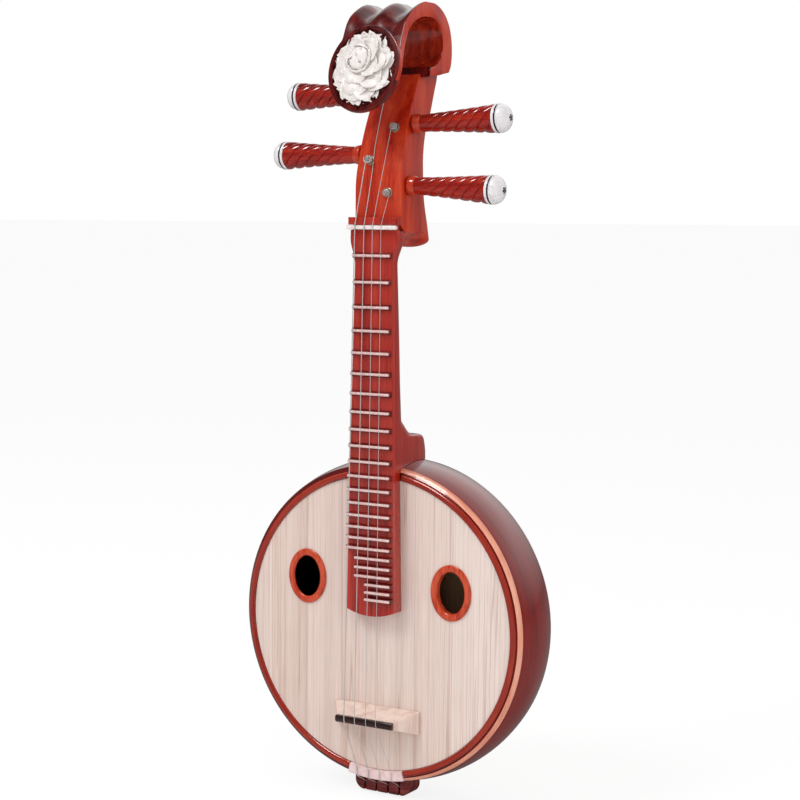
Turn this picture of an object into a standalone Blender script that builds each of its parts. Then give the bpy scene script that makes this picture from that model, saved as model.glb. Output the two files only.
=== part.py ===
"""A small ruan: a round-bodied plucked lute with four strings, worm-geared tuners and a scroll head.

Frame: metres, +Z up the neck, +X to the right of someone facing the soundboard, +Y to the back.
The origin is the centre of the back board's outer face. Depths are measured backwards from the
soundboard's face with deep(), so a negative depth stands in front of that face. Heights in the
tables of the head and the upper neck are counted from the nut, and those of the heel from the rim.
"""

import math

import bmesh
import bpy
from mathutils import Matrix, Vector

# Fits
GAP = 0.0003

# Body
BODY_DEPTH = 0.057
BOARD_RADIUS = 0.1274
BOARD_THICK = 0.004
BEAD_WIDTH = 0.0054
BEAD_PROUD = 0.0022
BEAD_SEAT_DEPTH = 0.0015
CHAMFER_RUN = 0.0032
CHAMFER_FALL = 0.0026
CHAMFER_FRONT = 0.0004
WALL_BULGE = 0.0043
WALL_BULGE_DEPTH = 0.0309
BACK_EDGE_ROUND = 0.0022
RIB_THICK = 0.0079
FRONT_LEDGE_WIDTH = 0.0064
BACK_LEDGE_WIDTH = 0.007
LEDGE_THICK = 0.008
LEDGE_SLOPE = 0.004
BACK_BOARD_INSET = 0.0059
BACK_BOARD_THICK = 0.004
BODY_SEGMENTS = 52
BRACE_HEIGHTS = (-0.006, -0.052)
BRACE_WIDTH = 0.006
BRACE_DEEP = 0.008
BRACE_END_CLEARANCE = 0.003
BLOCK_HALF_WIDTH = 0.020
BLOCK_THICK = 0.016
BLOCK_OVERLAP = 0.002
CUT_REACH = 0.02

# Sound holes
HOLE_X = 0.0717
HOLE_Z = 0.0346
HOLE_HALF_WIDTH = 0.01325
HOLE_HALF_HEIGHT = 0.0179
RING_WIDTH = 0.0061
RING_PROUD = 0.0021
RING_SLEEVE = 0.0015
RING_SEGMENTS = 28

# Scale length and string layout, thickest string first
SCALE_LENGTH = 0.420
BRIDGE_Z = -0.081
NUT_Z = BRIDGE_Z + SCALE_LENGTH
STRING_RADII = (0.0005, 0.0004, 0.0003, 0.00025)
STRING_NUT_X = (-0.0150, -0.0060, 0.0022, 0.0105)
STRING_BRIDGE_X = (-0.0175, -0.0070, 0.0041, 0.0140)
STRING_SADDLE_X = (-0.0180, -0.0065, 0.0048, 0.0168)

# Fingerboard
FRONT_AT_END = -0.0136
FRONT_SLOPE = 0.0073
FINGERBOARD_THICK = 0.0051
BOARD_BELOW_FRETS = 0.015
END_ARC_RADIUS = 0.060
HALF_WIDTH_AT_NUT = 0.0174
HALF_WIDTH_TAPER = 0.0187
FLARE = 0.0051
FLARE_START = 0.031
FLARE_END = 0.009
NUT_THICK = 0.0035
NUT_HALF_WIDTH = 0.0241
NUT_FRONT = -0.0158
NUT_SLOT_FLOOR = 0.0022
NUT_BLOCK_THICK = 0.0067
NUT_BLOCK_HALF_WIDTH = 0.024
NUT_BLOCK_FRONT = -0.0132
NUT_FOOT_INSET = 0.002
NUT_FOOT_LAP = 0.001
EDGE_ROUND = 0.0006

# Frets
FRET_COUNT = 24
FRET_BASE_WIDTH = 0.005
FRET_CROWN_WIDTH = 0.0025
FRET_CROWN_AT_NUT = -0.0150
FRET_CROWN_SLOPE = 0.0119
FRET_CROWN_ROUND = 0.0007
FULL_FRETS = 18
SHORT_FRETS = 21
SHORT_FRET_LEFT_X = -0.0134
SHORTEST_FRET_LEFT_X = -0.0031

# Neck: (height, depth of its back), under the chin from the nut and at the heel from the rim, and
# (share of the way down, depth of its back) between those two
THROAT_BACK = (
    (-0.003, 0.0165), (-0.008, 0.0158), (-0.013, 0.0130), (-0.018, 0.0088), (-0.024, 0.0056),
    (-0.031, 0.0043), (-0.041, 0.0056),
)
NECK_RUN_BACK = ((0.164, 0.0083), (0.327, 0.0100), (0.564, 0.0120), (0.800, 0.0135))
HEEL_BACK = (
    (0.0511, 0.0158), (0.0391, 0.0172), (0.0311, 0.0200), (0.0266, 0.0260), (0.0251, 0.0345),
    (0.0243, 0.0440), (0.0228, 0.0485), (0.0201, 0.0512), (0.0161, 0.0528), (-0.0169, 0.0530),
)
TONGUE_FOOT_Z = 0.002
NECK_SIDE = 0.004
HEEL_START = 0.0381
HEEL_EASE = 0.012
NECK_ROUNDNESS = 2.0
HEEL_SQUARENESS = 5.0
NECK_TOP_BACK = -0.0019
SCARF_HEIGHT = 0.009
SCARF_DEPTH = -0.012
SCARF_SLOPE = 0.92
SCARF_REACH = 0.060

# Head: the face bends back above the nut; the stem's (height, depth of its back, half-width)
FACE_DEPTH = -0.0039
FACE_BEND = 0.026
FACE_RADIUS = 0.1436
FACE_STRAIGHT = 0.0965
STEM_BACK = (
    (-0.0210, 0.0470, 0.0228), (0.0010, 0.0415, 0.0228), (0.0260, 0.0349, 0.0228),
    (0.0410, 0.0338, 0.0228), (0.0610, 0.0355, 0.0216), (0.0710, 0.0375, 0.0212),
    (0.0820, 0.0410, 0.0208), (0.0965, 0.0488, 0.0204), (0.1120, 0.0548, 0.0202),
    (0.1250, 0.0600, 0.0200),
)
STEM_TOP = (0.0315, 0.1295, 0.0615, 0.1320)
STEM_CORNER = 0.0025
CHIN_SIDE = (
    (-0.006, -0.0028), (0.002, -0.0034), (0.010, -0.0038), (0.019, -0.0044), (0.028, -0.0038),
    (0.036, -0.0050), (0.042, -0.0080), (0.050, -0.0105),
)
CHIN_FLOOR = 0.040
CHIN_TONGUE = (0.0145, 0.0135, 0.0110, 0.0076, 0.0067, 0.0047, 0.0015, 0.0)

# Scroll: its side outline as (depth, height, share of the wave), from the back of its foot over the
# top to the front of its arm, then the arm's inner side up to the bore
SCROLL_HALF_WIDTH = 0.029
SCROLL_WAVE = 0.0062
SCROLL_STATIONS = 11
SCROLL_OUTER = (
    (0.0638, 0.1316, 0.0), (0.0667, 0.1360, 0.1), (0.0684, 0.1426, 0.3), (0.0688, 0.1510, 0.6),
    (0.0678, 0.1600, 0.9), (0.0650, 0.1685, 1.0), (0.0603, 0.1758, 1.0), (0.0535, 0.1818, 1.0),
    (0.0445, 0.1862, 1.0), (0.0350, 0.1882, 1.0), (0.0255, 0.1882, 1.0), (0.0165, 0.1862, 1.0),
    (0.0085, 0.1828, 1.0), (0.0015, 0.1790, 0.9), (-0.0045, 0.1745, 0.7), (-0.0090, 0.1690, 0.45),
    (-0.0122, 0.1630, 0.2), (-0.0148, 0.1570, 0.0),
)
ARM_TIP = ((-0.0120, 0.1520), (-0.0100, 0.1520))
ARM_INNER = ((-0.0062, 0.1590), (0.0000, 0.1658), (0.0075, 0.1708), (0.0155, 0.1738), (0.0225, 0.1752))
BORE_DEPTH = 0.0325
BORE_HEIGHT = 0.155
BORE_RADIUS = 0.0205
BORE_STEPS = 10
THROAT = ((0.0312, 0.1310), (0.0303, 0.1262), (0.0460, 0.1282))

# The arm's lower half flares to the disc: (height, front depth, back depth, half-width)
ARM_FLARE = (
    (0.1665, -0.0088, -0.0012, 0.0284), (0.1580, -0.0142, -0.0062, 0.0290),
    (0.1535, -0.0168, -0.0088, 0.0294), (0.1480, -0.0196, -0.0120, 0.0301),
    (0.1420, -0.0213, -0.0158, 0.0313), (0.1360, -0.0229, -0.0194, 0.0326),
    (0.1300, -0.0244, -0.0218, 0.0330), (0.1220, -0.0266, -0.0250, 0.0318),
)

# Rosette disc, slightly taller than wide, and its flower
DISC_RADIUS = 0.0341
DISC_OVAL = 1.085
DISC_THICK = 0.0058
DISC_RIM = 0.0040
DISC_RECESS = 0.0032
DISC_DEPTH = -0.0284
DISC_HEIGHT = 0.1305
DISC_LEAN = math.radians(15)
DISC_SEGMENTS = 36
DISC_EDGE = 0.0008
DISC_BACK_EDGE = 0.0010
FLOWER_RADIUS = 0.0298

# Flower tiers: (share of its radius, height, petals, depth of the notches, phase)
FLOWER_TIERS = (
    (1.00, 0.0, 10, 0.02, 0.0), (1.00, 0.0044, 10, 0.03, 0.0), (0.88, 0.0062, 10, 0.05, 0.0),
    (0.76, 0.0044, 10, 0.04, math.pi), (0.68, 0.0076, 8, 0.06, math.pi),
    (0.50, 0.0064, 8, 0.05, math.pi), (0.44, 0.0096, 5, 0.08, 0.0),
    (0.24, 0.0082, 5, 0.08, 0.0), (0.16, 0.0104, 5, 0.05, 0.0),
)

# Tuners: side, post height, worm depth behind the face, tilt of the peg away from the body
TUNERS = (
    (1, 0.029, 0.0125, math.radians(-2.5)),
    (-1, 0.056, 0.0098, 0.0),
    (1, 0.083, 0.0088, math.radians(2.5)),
    (-1, 0.110, 0.0088, 0.0),
)
POST_X = 0.00975
POST_RADIUS = 0.00215
POST_PROUD = 0.0068
POST_TIP_ROUND = 0.0006
POST_TAIL = 0.0030
WHEEL_TEETH = 12
WHEEL_PITCH_RADIUS = 0.0046
WHEEL_TOOTH_HEIGHT = 0.00125
WHEEL_HALF_THICK = 0.0018
WORM_PITCH_RADIUS = 0.0024
WORM_THREAD_HEIGHT = 0.0012
WORM_TURNS = 2.0
WORM_STEPS = 10
TOOTH_CLEARANCE = 0.00022
SHAFT_RADIUS = 0.0015
SHAFT_SOCKET = 0.012
SHAFT_TAIL = 0.0035
SHAFT_END_ROUND = 0.0003
THREAD_RUNOUT = 0.0012
COLLAR_LENGTH = 0.005
COLLAR_PLAY = 0.0010

# Pegs, along their axis from the head's side
PEG_ROOT_X = 0.0232
PEG_HANDLE_LENGTH = 0.0755
PEG_ROOT_RADIUS = 0.0073
PEG_END_RADIUS = 0.0120
PEG_COLLAR_RADIUS = 0.0086
PEG_COLLAR_LENGTH = 0.0045
PEG_COLLAR_ROUND = 0.0012
PEG_FLUTES = 5
PEG_FLUTE_DEEP = 0.15
PEG_FLUTE_LEAD = 0.051
PEG_FLUTE_END = 0.4
PEG_ROWS = 20
CAP_RING_LENGTH = 0.005
CAP_STEP = 0.0005
CAP_DOME = 0.0085
CAP_RADIUS = 0.0122

# Bridge
BRIDGE_X = 0.001
BRIDGE_FOOT_HALF_WIDTH = 0.0415
BRIDGE_TOP_HALF_WIDTH = 0.0283
BRIDGE_FOOT_HALF_LENGTH = 0.010
BRIDGE_TOP_HALF_LENGTH = 0.0034
BRIDGE_FOOT_HEIGHT = 0.003
BRIDGE_BASE_HEIGHT = 0.0212
BRIDGE_SADDLE_HEIGHT = 0.0036
BRIDGE_SADDLE_INSET = 0.0004
BRIDGE_SADDLE_ROUND = 0.0015

# Tail
TAIL_SADDLE_HALF_WIDTH = 0.0265
TAIL_SADDLE_PROUD = 0.0026
TAIL_SADDLE_ROUND = 0.0010
TAILPIECE_HALF_WIDTH = 0.0275
TAILPIECE_BELOW_RIM = 0.0141
TAILPIECE_INTO_WALL = 0.007
TAILPIECE_FRONT = 0.009
TAILPIECE_DEEP = 0.018
TAILPIECE_CORNER = 0.009
TAILPIECE_SLOT_X = (-0.0173, -0.0058, 0.0058, 0.0173)
TAILPIECE_SLOT_WIDTH = 0.0020
TAILPIECE_SLOT_DEEP = 0.005
STRING_IN_SLOT = 0.0024
STRING_SLOT_HEIGHTS = (0.0037, 0.0070)

# Bends of a string: (behind the tail saddle's top, above its lower edge), then the heights of its
# contact with the bridge and with the nut
SADDLE_BENDS = ((0.0046, -0.0022), (0.0022, -0.0009), (0.0006, 0.0002), (0.0, 0.0020), (0.0, 0.0072))
BRIDGE_CONTACT = (-0.0004, 0.0016)
NUT_CONTACT = (-0.0010, 0.0016)

# String windings on the posts
WINDING_SPACE = 0.00075
WINDING_START = 0.0024
WINDING_TURNS = (2.0, 2.0, 2.0, 2.25)
WINDING_STEPS = 24
APPROACH_STEPS = 5
WINDING_POSTS = (1, 3, 2, 0)
WINDING_SIDES = (-1, 1, -1, 1)

CHAMFER_RADIUS = BOARD_RADIUS + GAP + BEAD_WIDTH + 2 * GAP
WALL_RADIUS = CHAMFER_RADIUS + CHAMFER_RUN
RIB_INNER_RADIUS = WALL_RADIUS - RIB_THICK
FRONT_LEDGE_RADIUS = BOARD_RADIUS - FRONT_LEDGE_WIDTH
BACK_BOARD_RADIUS = WALL_RADIUS - BACK_BOARD_INSET
BACK_LEDGE_RADIUS = BACK_BOARD_RADIUS - BACK_LEDGE_WIDTH
TAIL_SADDLE_RADIUS = WALL_RADIUS - GAP
TAILPIECE_BOTTOM_Z = -WALL_RADIUS - TAILPIECE_BELOW_RIM


def deep(depth):
    """Y of a plane that lies this far behind the soundboard's face."""
    return depth - BODY_DEPTH


def wall_radius(depth):
    """Outer radius of the bulging side wall."""
    start = WALL_BULGE_DEPTH - CHAMFER_FRONT - CHAMFER_FALL
    return WALL_RADIUS + WALL_BULGE * (1 - ((depth - WALL_BULGE_DEPTH) / start) ** 2)


def fret_z(number):
    """Height of a fret by equal temperament, 12 to the octave."""
    return NUT_Z - SCALE_LENGTH * (1 - 2 ** (-number / 12))


BOARD_END_Z = fret_z(FRET_COUNT) - BOARD_BELOW_FRETS


def board_half_width(z):
    """Half-width of the fingerboard and of the neck under it, with the flare below the nut."""
    share = min(max((z - NUT_Z + FLARE_START) / (FLARE_START - FLARE_END), 0.0), 1.0)
    return HALF_WIDTH_AT_NUT + (NUT_Z - z) * HALF_WIDTH_TAPER + FLARE * share * share * (3 - 2 * share)


def board_front(z):
    return FRONT_AT_END + (z - BOARD_END_Z) * FRONT_SLOPE


def board_back(z):
    return board_front(z) + FINGERBOARD_THICK


def end_arc_z(x):
    """Height of the fingerboard's rounded lower end at a place across it."""
    return BOARD_END_Z + END_ARC_RADIUS - math.sqrt(END_ARC_RADIUS ** 2 - x ** 2)


def face_slope(height):
    """How fast the head's face leans back at a height above the nut."""
    return (min(max(height, FACE_BEND), FACE_STRAIGHT) - FACE_BEND) / FACE_RADIUS


def face_depth(height):
    """Depth of the head's face: flat above the nut, then an arc, then straight up to the scroll."""
    bend = min(max(height, FACE_BEND), FACE_STRAIGHT) - FACE_BEND
    straight = max(height - FACE_STRAIGHT, 0.0)
    return FACE_DEPTH + bend ** 2 / (2 * FACE_RADIUS) + straight * face_slope(height)


def material(name, colour, roughness, metallic=0.0):
    made = bpy.data.materials.new(name)
    made.use_nodes = True
    shader = made.node_tree.nodes["Principled BSDF"]
    shader.inputs["Base Color"].default_value = (*colour, 1.0)
    shader.inputs["Roughness"].default_value = roughness
    shader.inputs["Metallic"].default_value = metallic
    return made


def finish(name, bm, surface=None, smooth=35.0):
    """Turn a bmesh into an object whose faces point out; with no surface it is a hidden cutter."""
    bmesh.ops.remove_doubles(bm, verts=bm.verts, dist=1e-7)
    bmesh.ops.recalc_face_normals(bm, faces=bm.faces)
    if bm.calc_volume(signed=True) < 0:
        bmesh.ops.reverse_faces(bm, faces=bm.faces)
    mesh = bpy.data.meshes.new(name)
    bm.to_mesh(mesh)
    bm.free()
    made = bpy.data.objects.new(name, mesh)
    bpy.context.collection.objects.link(made)
    if surface is None:
        made.hide_render = True
        made.display_type = 'WIRE'
    else:
        mesh.materials.append(surface)
        mesh.shade_smooth()
        mesh.set_sharp_from_angle(angle=math.radians(smooth))
    return made


def loft(name, rings, surface=None, ring_closed=False, smooth=35.0):
    """Skin rings of equal length, with a cap on each end unless the rings close on themselves."""
    bm = bmesh.new()
    rows = [[bm.verts.new(point) for point in ring] for ring in rings]
    pairs = list(zip(rows, rows[1:]))
    if ring_closed:
        pairs.append((rows[-1], rows[0]))
    for low, high in pairs:
        count = len(low)
        for i in range(count):
            j = (i + 1) % count
            bm.faces.new((low[i], low[j], high[j], high[i]))
    if not ring_closed:
        bm.faces.new(rows[0])
        bm.faces.new(list(reversed(rows[-1])))
    return finish(name, bm, surface, smooth)


def turned(name, profile, surface=None, segments=BODY_SEGMENTS, start=0.0, sweep=None):
    """Turn a closed (radius, depth) profile round the body's axis; angles run from the top."""
    full = sweep is None
    sweep = 2 * math.pi if full else sweep
    count = segments if full else segments + 1
    rings = []
    for i in range(count):
        angle = start + sweep * i / segments
        rings.append([(r * math.sin(angle), deep(d), r * math.cos(angle)) for r, d in profile])
    return loft(name, rings, surface, ring_closed=full)


def disc(name, profile, surface=None, segments=BODY_SEGMENTS):
    """Turn an open (radius, depth) profile round the body's axis and cap both of its ends."""
    rings = []
    for r, d in profile:
        angles = [2 * math.pi * i / segments for i in range(segments)]
        rings.append([(r * math.sin(a), deep(d), r * math.cos(a)) for a in angles])
    return loft(name, rings, surface)


def prism(name, outline, near, far, surface=None):
    """Extrude an (x, z) outline from one depth to another."""
    rings = [[(x, deep(d), z) for x, z in outline] for d in (near, far)]
    return loft(name, rings, surface)


def box(name, x0, x1, d0, d1, z0, z1, surface=None):
    return prism(name, [(x0, z0), (x1, z0), (x1, z1), (x0, z1)], d0, d1, surface)


def spindle(name, frame, profile, surface=None, segments=16, shape=None):
    """Turn (along, radius) pairs round a frame's X axis; shape scales the radius by row and angle."""
    rings = []
    for row, (along, radius) in enumerate(profile):
        ring = []
        for i in range(segments):
            angle = 2 * math.pi * i / segments
            twist, factor = shape(row, i) if shape else (0.0, 1.0)
            reach = radius * factor
            point = Vector((along, reach * math.cos(angle + twist), reach * math.sin(angle + twist)))
            ring.append(frame @ point)
        rings.append(ring)
    return loft(name, rings, surface)


def boolean(target, tool, operation='DIFFERENCE'):
    modifier = target.modifiers.new(tool.name, 'BOOLEAN')
    modifier.operation = operation
    modifier.solver = 'EXACT'
    modifier.object = tool


def soften(target, width, angle=40.0):
    modifier = target.modifiers.new("soft edges", 'BEVEL')
    modifier.width = width
    modifier.segments = 1
    modifier.limit_method = 'ANGLE'
    modifier.angle_limit = math.radians(angle)


def move_origin(made, frame):
    """Put an object's origin on a joint's frame without moving its surface."""
    made.data.transform(frame.inverted())
    made.matrix_world = frame


def oval(x, z, half_width, half_height, segments=RING_SEGMENTS):
    turns = [2 * math.pi * i / segments for i in range(segments)]
    return [(x + half_width * math.sin(a), z + half_height * math.cos(a)) for a in turns]


def body_envelope(name, clearance):
    """The closed outer form of the body, grown by a clearance, used to seat what rests on it."""
    rim = CHAMFER_RADIUS - GAP
    depths = [CHAMFER_FRONT + CHAMFER_FALL + i * (BODY_DEPTH - CHAMFER_FALL) / 8 for i in range(9)]
    profile = [(rim, -clearance)] + [(wall_radius(d) + clearance, d) for d in depths]
    return disc(name, profile)


def make_body(woods):
    """Soundboard with braces, rib ring with its blocks, beads, back board and sound hole rings."""
    soundboard = disc("soundboard", [(BOARD_RADIUS, 0.0), (BOARD_RADIUS, BOARD_THICK)], woods["spruce"])
    for number, z in enumerate(BRACE_HEIGHTS, 1):
        inner = FRONT_LEDGE_RADIUS - BRACE_END_CLEARANCE
        reach = math.sqrt(inner ** 2 - (abs(z) + BRACE_WIDTH / 2) ** 2)
        brace = box(f"brace_{number}", -reach, reach, BOARD_THICK / 2, BOARD_THICK + BRACE_DEEP,
                    z - BRACE_WIDTH / 2, z + BRACE_WIDTH / 2)
        boolean(soundboard, brace, 'UNION')
    for side, word in ((-1, "left"), (1, "right")):
        hole_grow = RING_SLEEVE + GAP
        hole = prism(f"hole_{word}", oval(side * HOLE_X, HOLE_Z, HOLE_HALF_WIDTH + hole_grow,
                     HOLE_HALF_HEIGHT + hole_grow), -BOARD_THICK, 2 * BOARD_THICK)
        boolean(soundboard, hole)
        make_sound_ring(f"soundhole_ring_{word}", side * HOLE_X, woods["orange"])
    make_rib_ring(woods["red"])
    make_beads(woods["red"])
    back = [(BACK_BOARD_RADIUS, BODY_DEPTH - BACK_BOARD_THICK),
            (BACK_BOARD_RADIUS, BODY_DEPTH - EDGE_ROUND), (BACK_BOARD_RADIUS - EDGE_ROUND, BODY_DEPTH)]
    disc("back_board", back, woods["back"])


def make_sound_ring(name, x, surface):
    """A rounded ring on the soundboard, with a sleeve that lines the hole."""
    crown = 4
    section = [(0.0, BOARD_THICK), (0.0, -RING_PROUD * 0.35)]
    for i in range(1, crown):
        angle = math.pi * i / crown
        section.append((RING_WIDTH / 2 * (1 - math.cos(angle)),
                        -RING_PROUD * (0.35 + 0.65 * math.sin(angle))))
    section += [(RING_WIDTH, -GAP), (RING_SLEEVE, -GAP), (RING_SLEEVE, BOARD_THICK)]
    rings = []
    for out, depth in section:
        outline = oval(x, HOLE_Z, HOLE_HALF_WIDTH + out, HOLE_HALF_HEIGHT + out)
        rings.append([(px, deep(depth), pz) for px, pz in outline])
    loft(name, rings, surface, ring_closed=True, smooth=50)


def make_rib_ring(surface):
    """The bent side wall with its chamfer, its two lining ledges and the end blocks inside."""
    seat = BOARD_RADIUS + GAP
    first = CHAMFER_FRONT + CHAMFER_FALL
    last = BODY_DEPTH - BACK_EDGE_ROUND
    depths = [first + i * (last - first) / 4 for i in range(4)]
    back_seat = BODY_DEPTH - BACK_BOARD_THICK - GAP
    profile = [(seat, BEAD_SEAT_DEPTH), (CHAMFER_RADIUS - GAP, BEAD_SEAT_DEPTH),
               (CHAMFER_RADIUS, CHAMFER_FRONT)]
    profile += [(wall_radius(d), d) for d in depths]
    profile += [(wall_radius(last), last),
                (wall_radius(last) - BACK_EDGE_ROUND * 0.3, BODY_DEPTH - BACK_EDGE_ROUND * 0.3),
                (wall_radius(last) - BACK_EDGE_ROUND, BODY_DEPTH),
                (BACK_BOARD_RADIUS + GAP, BODY_DEPTH), (BACK_BOARD_RADIUS + GAP, back_seat),
                (BACK_LEDGE_RADIUS, back_seat), (BACK_LEDGE_RADIUS, back_seat - LEDGE_THICK),
                (RIB_INNER_RADIUS, back_seat - LEDGE_THICK - LEDGE_SLOPE)]
    front_seat = BOARD_THICK + GAP
    profile += [(RIB_INNER_RADIUS, front_seat + LEDGE_THICK + LEDGE_SLOPE),
                (FRONT_LEDGE_RADIUS, front_seat + LEDGE_THICK), (FRONT_LEDGE_RADIUS, front_seat),
                (seat, front_seat)]
    rib = turned("rib_ring", profile, surface)
    inner = RIB_INNER_RADIUS - BLOCK_THICK
    outer = RIB_INNER_RADIUS + BLOCK_OVERLAP
    for name, sign in (("tail_block", -1), ("neck_block", 1)):
        low, high = sorted((sign * inner, sign * outer))
        block = box(name, -BLOCK_HALF_WIDTH, BLOCK_HALF_WIDTH, front_seat + LEDGE_THICK / 2,
                    back_seat - LEDGE_THICK / 2, low, high)
        boolean(rib, block, 'UNION')


def make_beads(surface):
    """Two half-round beads between soundboard and wall, open at the neck and at the tail saddle."""
    inner = BOARD_RADIUS + GAP
    base = BEAD_SEAT_DEPTH - GAP
    shoulder = -0.0002
    profile = [(inner, base), (inner, shoulder)]
    for i in range(1, 5):
        angle = math.pi * i / 5
        profile.append((inner + BEAD_WIDTH / 2 * (1 - math.cos(angle)),
                        shoulder - (BEAD_PROUD + shoulder) * math.sin(angle)))
    profile += [(inner + BEAD_WIDTH, shoulder), (inner + BEAD_WIDTH, base)]
    middle = inner + BEAD_WIDTH / 2
    neck_half = board_half_width(middle) + 4 * GAP
    top = math.asin(neck_half / inner)
    bottom = math.pi - math.asin((TAIL_SADDLE_HALF_WIDTH + GAP) / middle) - GAP / middle
    half = BODY_SEGMENTS // 2 - 2
    turned("rim_bead_right", profile, surface, segments=half, start=top, sweep=bottom - top)
    turned("rim_bead_left", profile, surface, segments=half, start=-bottom, sweep=bottom - top)


def neck_rows():
    """(height, depth of the neck's back) from the chin down to the foot of the tongue."""
    rows = [(NUT_Z + up, back) for up, back in THROAT_BACK]
    top = rows[-1][0]
    heel = WALL_RADIUS + HEEL_BACK[0][0]
    rows += [(top + (heel - top) * share, back) for share, back in NECK_RUN_BACK]
    rows += [(WALL_RADIUS + out, back) for out, back in HEEL_BACK]
    rows.append((TONGUE_FOOT_Z, HEEL_BACK[-1][1]))
    return rows


def make_neck(surface):
    """The neck with its heel and tongue: lofted D sections, seated on the body and the head."""
    around = 9
    rings = []
    for z, back in neck_rows():
        front = board_back(z) + GAP
        half = board_half_width(z)
        side = front + NECK_SIDE
        heel = min(max((WALL_RADIUS + HEEL_START - z) / HEEL_EASE, 0.0), 1.0)
        power = NECK_ROUNDNESS + (HEEL_SQUARENESS - NECK_ROUNDNESS) * heel
        ring = [(-half, deep(front), z), (-half, deep(side), z)]
        for i in range(1, around):
            angle = math.pi * i / around
            across = abs(math.cos(angle)) ** (2 / power) * math.copysign(1, math.cos(angle))
            down = abs(math.sin(angle)) ** (2 / power)
            ring.append((-half * across, deep(side + (back - side) * down), z))
        ring += [(half, deep(side), z), (half, deep(front), z)]
        rings.append(ring)
    neck = loft("neck", rings, surface, smooth=40)
    boolean(neck, body_envelope("body_seat", GAP))
    boolean(neck, scarf_cutter("neck_scarf", above=True))
    half = END_ARC_RADIUS / 2
    steps = 8
    low = TONGUE_FOOT_Z - CUT_REACH
    outline = [(-half, low), (half, low)]
    outline += [(half - 2 * half * i / steps, end_arc_z(half - 2 * half * i / steps))
                for i in range(steps + 1)]
    boolean(neck, prism("tongue_end", outline, FRONT_AT_END - CUT_REACH, BODY_DEPTH))
    top = NUT_Z + NUT_THICK / 2 - 2 * GAP
    wide = NUT_HALF_WIDTH + CUT_REACH
    boolean(neck, box("neck_top", -wide, wide, NUT_FRONT - CUT_REACH, NECK_TOP_BACK, top,
                      top + CUT_REACH))
    return neck


def scarf_cutter(name, above):
    """A block on one side of the slanted joint between neck and head."""
    slide = GAP / 2 * math.sqrt(1 + SCARF_SLOPE ** 2)
    shift = slide if not above else -slide
    front = SCARF_DEPTH - CUT_REACH
    back = SCARF_REACH
    z_front = NUT_Z + SCARF_HEIGHT - SCARF_SLOPE * (front - SCARF_DEPTH) + shift
    z_back = NUT_Z + SCARF_HEIGHT - SCARF_SLOPE * (back - SCARF_DEPTH) + shift
    away = 2 * SCARF_REACH if above else -2 * SCARF_REACH
    rings = []
    for x in (-SCARF_REACH, SCARF_REACH):
        rings.append([(x, deep(front), z_front), (x, deep(back), z_back),
                      (x, deep(back), z_back + away), (x, deep(front), z_front + away)])
    return loft(name, rings)


def make_fingerboard(surface, bone):
    """The slightly sloped plate with its nut block, and the bone nut in its slot."""
    low_nut = NUT_Z - NUT_THICK / 2
    high_nut = NUT_Z + NUT_THICK / 2
    top = high_nut + NUT_BLOCK_THICK
    run = FLARE_START - FLARE_END
    heights = [NUT_Z - FLARE_START + run * i / 6 for i in range(7)] + [low_nut - GAP]
    right = [(board_half_width(z), z) for z in heights]
    widest = board_half_width(end_arc_z(board_half_width(BOARD_END_Z)))
    steps = 10
    arc = [(widest - 2 * widest * i / steps, end_arc_z(widest - 2 * widest * i / steps))
           for i in range(steps + 1)]
    neck_top = high_nut - 2 * GAP
    block = NUT_BLOCK_HALF_WIDTH
    outline = [(-x, z) for x, z in right] + [(-block, neck_top), (block, neck_top)]
    outline += list(reversed(right)) + arc
    bm_rings = []
    for face in (board_front, board_back):
        bm_rings.append([(x, deep(face(z)), z) for x, z in outline])
    board = loft("fingerboard", bm_rings, surface)
    boolean(board, box("nut_block", -block, block, NUT_BLOCK_FRONT, FACE_DEPTH - GAP,
                       high_nut + GAP, top), 'UNION')
    floor = board_back(NUT_Z) - NUT_SLOT_FLOOR
    wide = NUT_HALF_WIDTH + CUT_REACH
    boolean(board, box("nut_slot", -wide, wide, NUT_FRONT - CUT_REACH, floor, low_nut - GAP,
                       high_nut + GAP))
    foot_back = board_back(NUT_Z) - GAP / 2
    inset = block - NUT_FOOT_INSET
    foot = box("nut_block_foot", -inset, inset, floor + GAP, foot_back, neck_top - NUT_FOOT_LAP,
               high_nut + NUT_FOOT_LAP)
    boolean(board, foot, 'UNION')
    nut = box("nut", -NUT_HALF_WIDTH, NUT_HALF_WIDTH, NUT_FRONT, floor - GAP, low_nut, high_nut, bone)
    soften(nut, EDGE_ROUND)


def make_frets(surface):
    """Tall wooden frets with narrow crowns; the highest ones are short and keep to the right."""
    for number in range(1, FRET_COUNT + 1):
        z = fret_z(number)
        right = board_half_width(z)
        left = -right
        if number > FULL_FRETS:
            left = SHORT_FRET_LEFT_X
        if number > SHORT_FRETS:
            left = SHORTEST_FRET_LEFT_X
        crown = FRET_CROWN_AT_NUT - (NUT_Z - z) * FRET_CROWN_SLOPE
        base = FRET_BASE_WIDTH / 2
        tip = FRET_CROWN_WIDTH / 2
        shoulder = crown + FRET_CROWN_ROUND
        section = [(board_front(z - base) - GAP, -base), (shoulder, -tip),
                   (crown, -tip * 0.45), (crown, tip * 0.45), (shoulder, tip),
                   (board_front(z + base) - GAP, base)]
        rings = [[(x, deep(d), z + up) for d, up in section] for x in (left, right)]
        loft(f"fret_{number:02d}", rings, surface)


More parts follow.
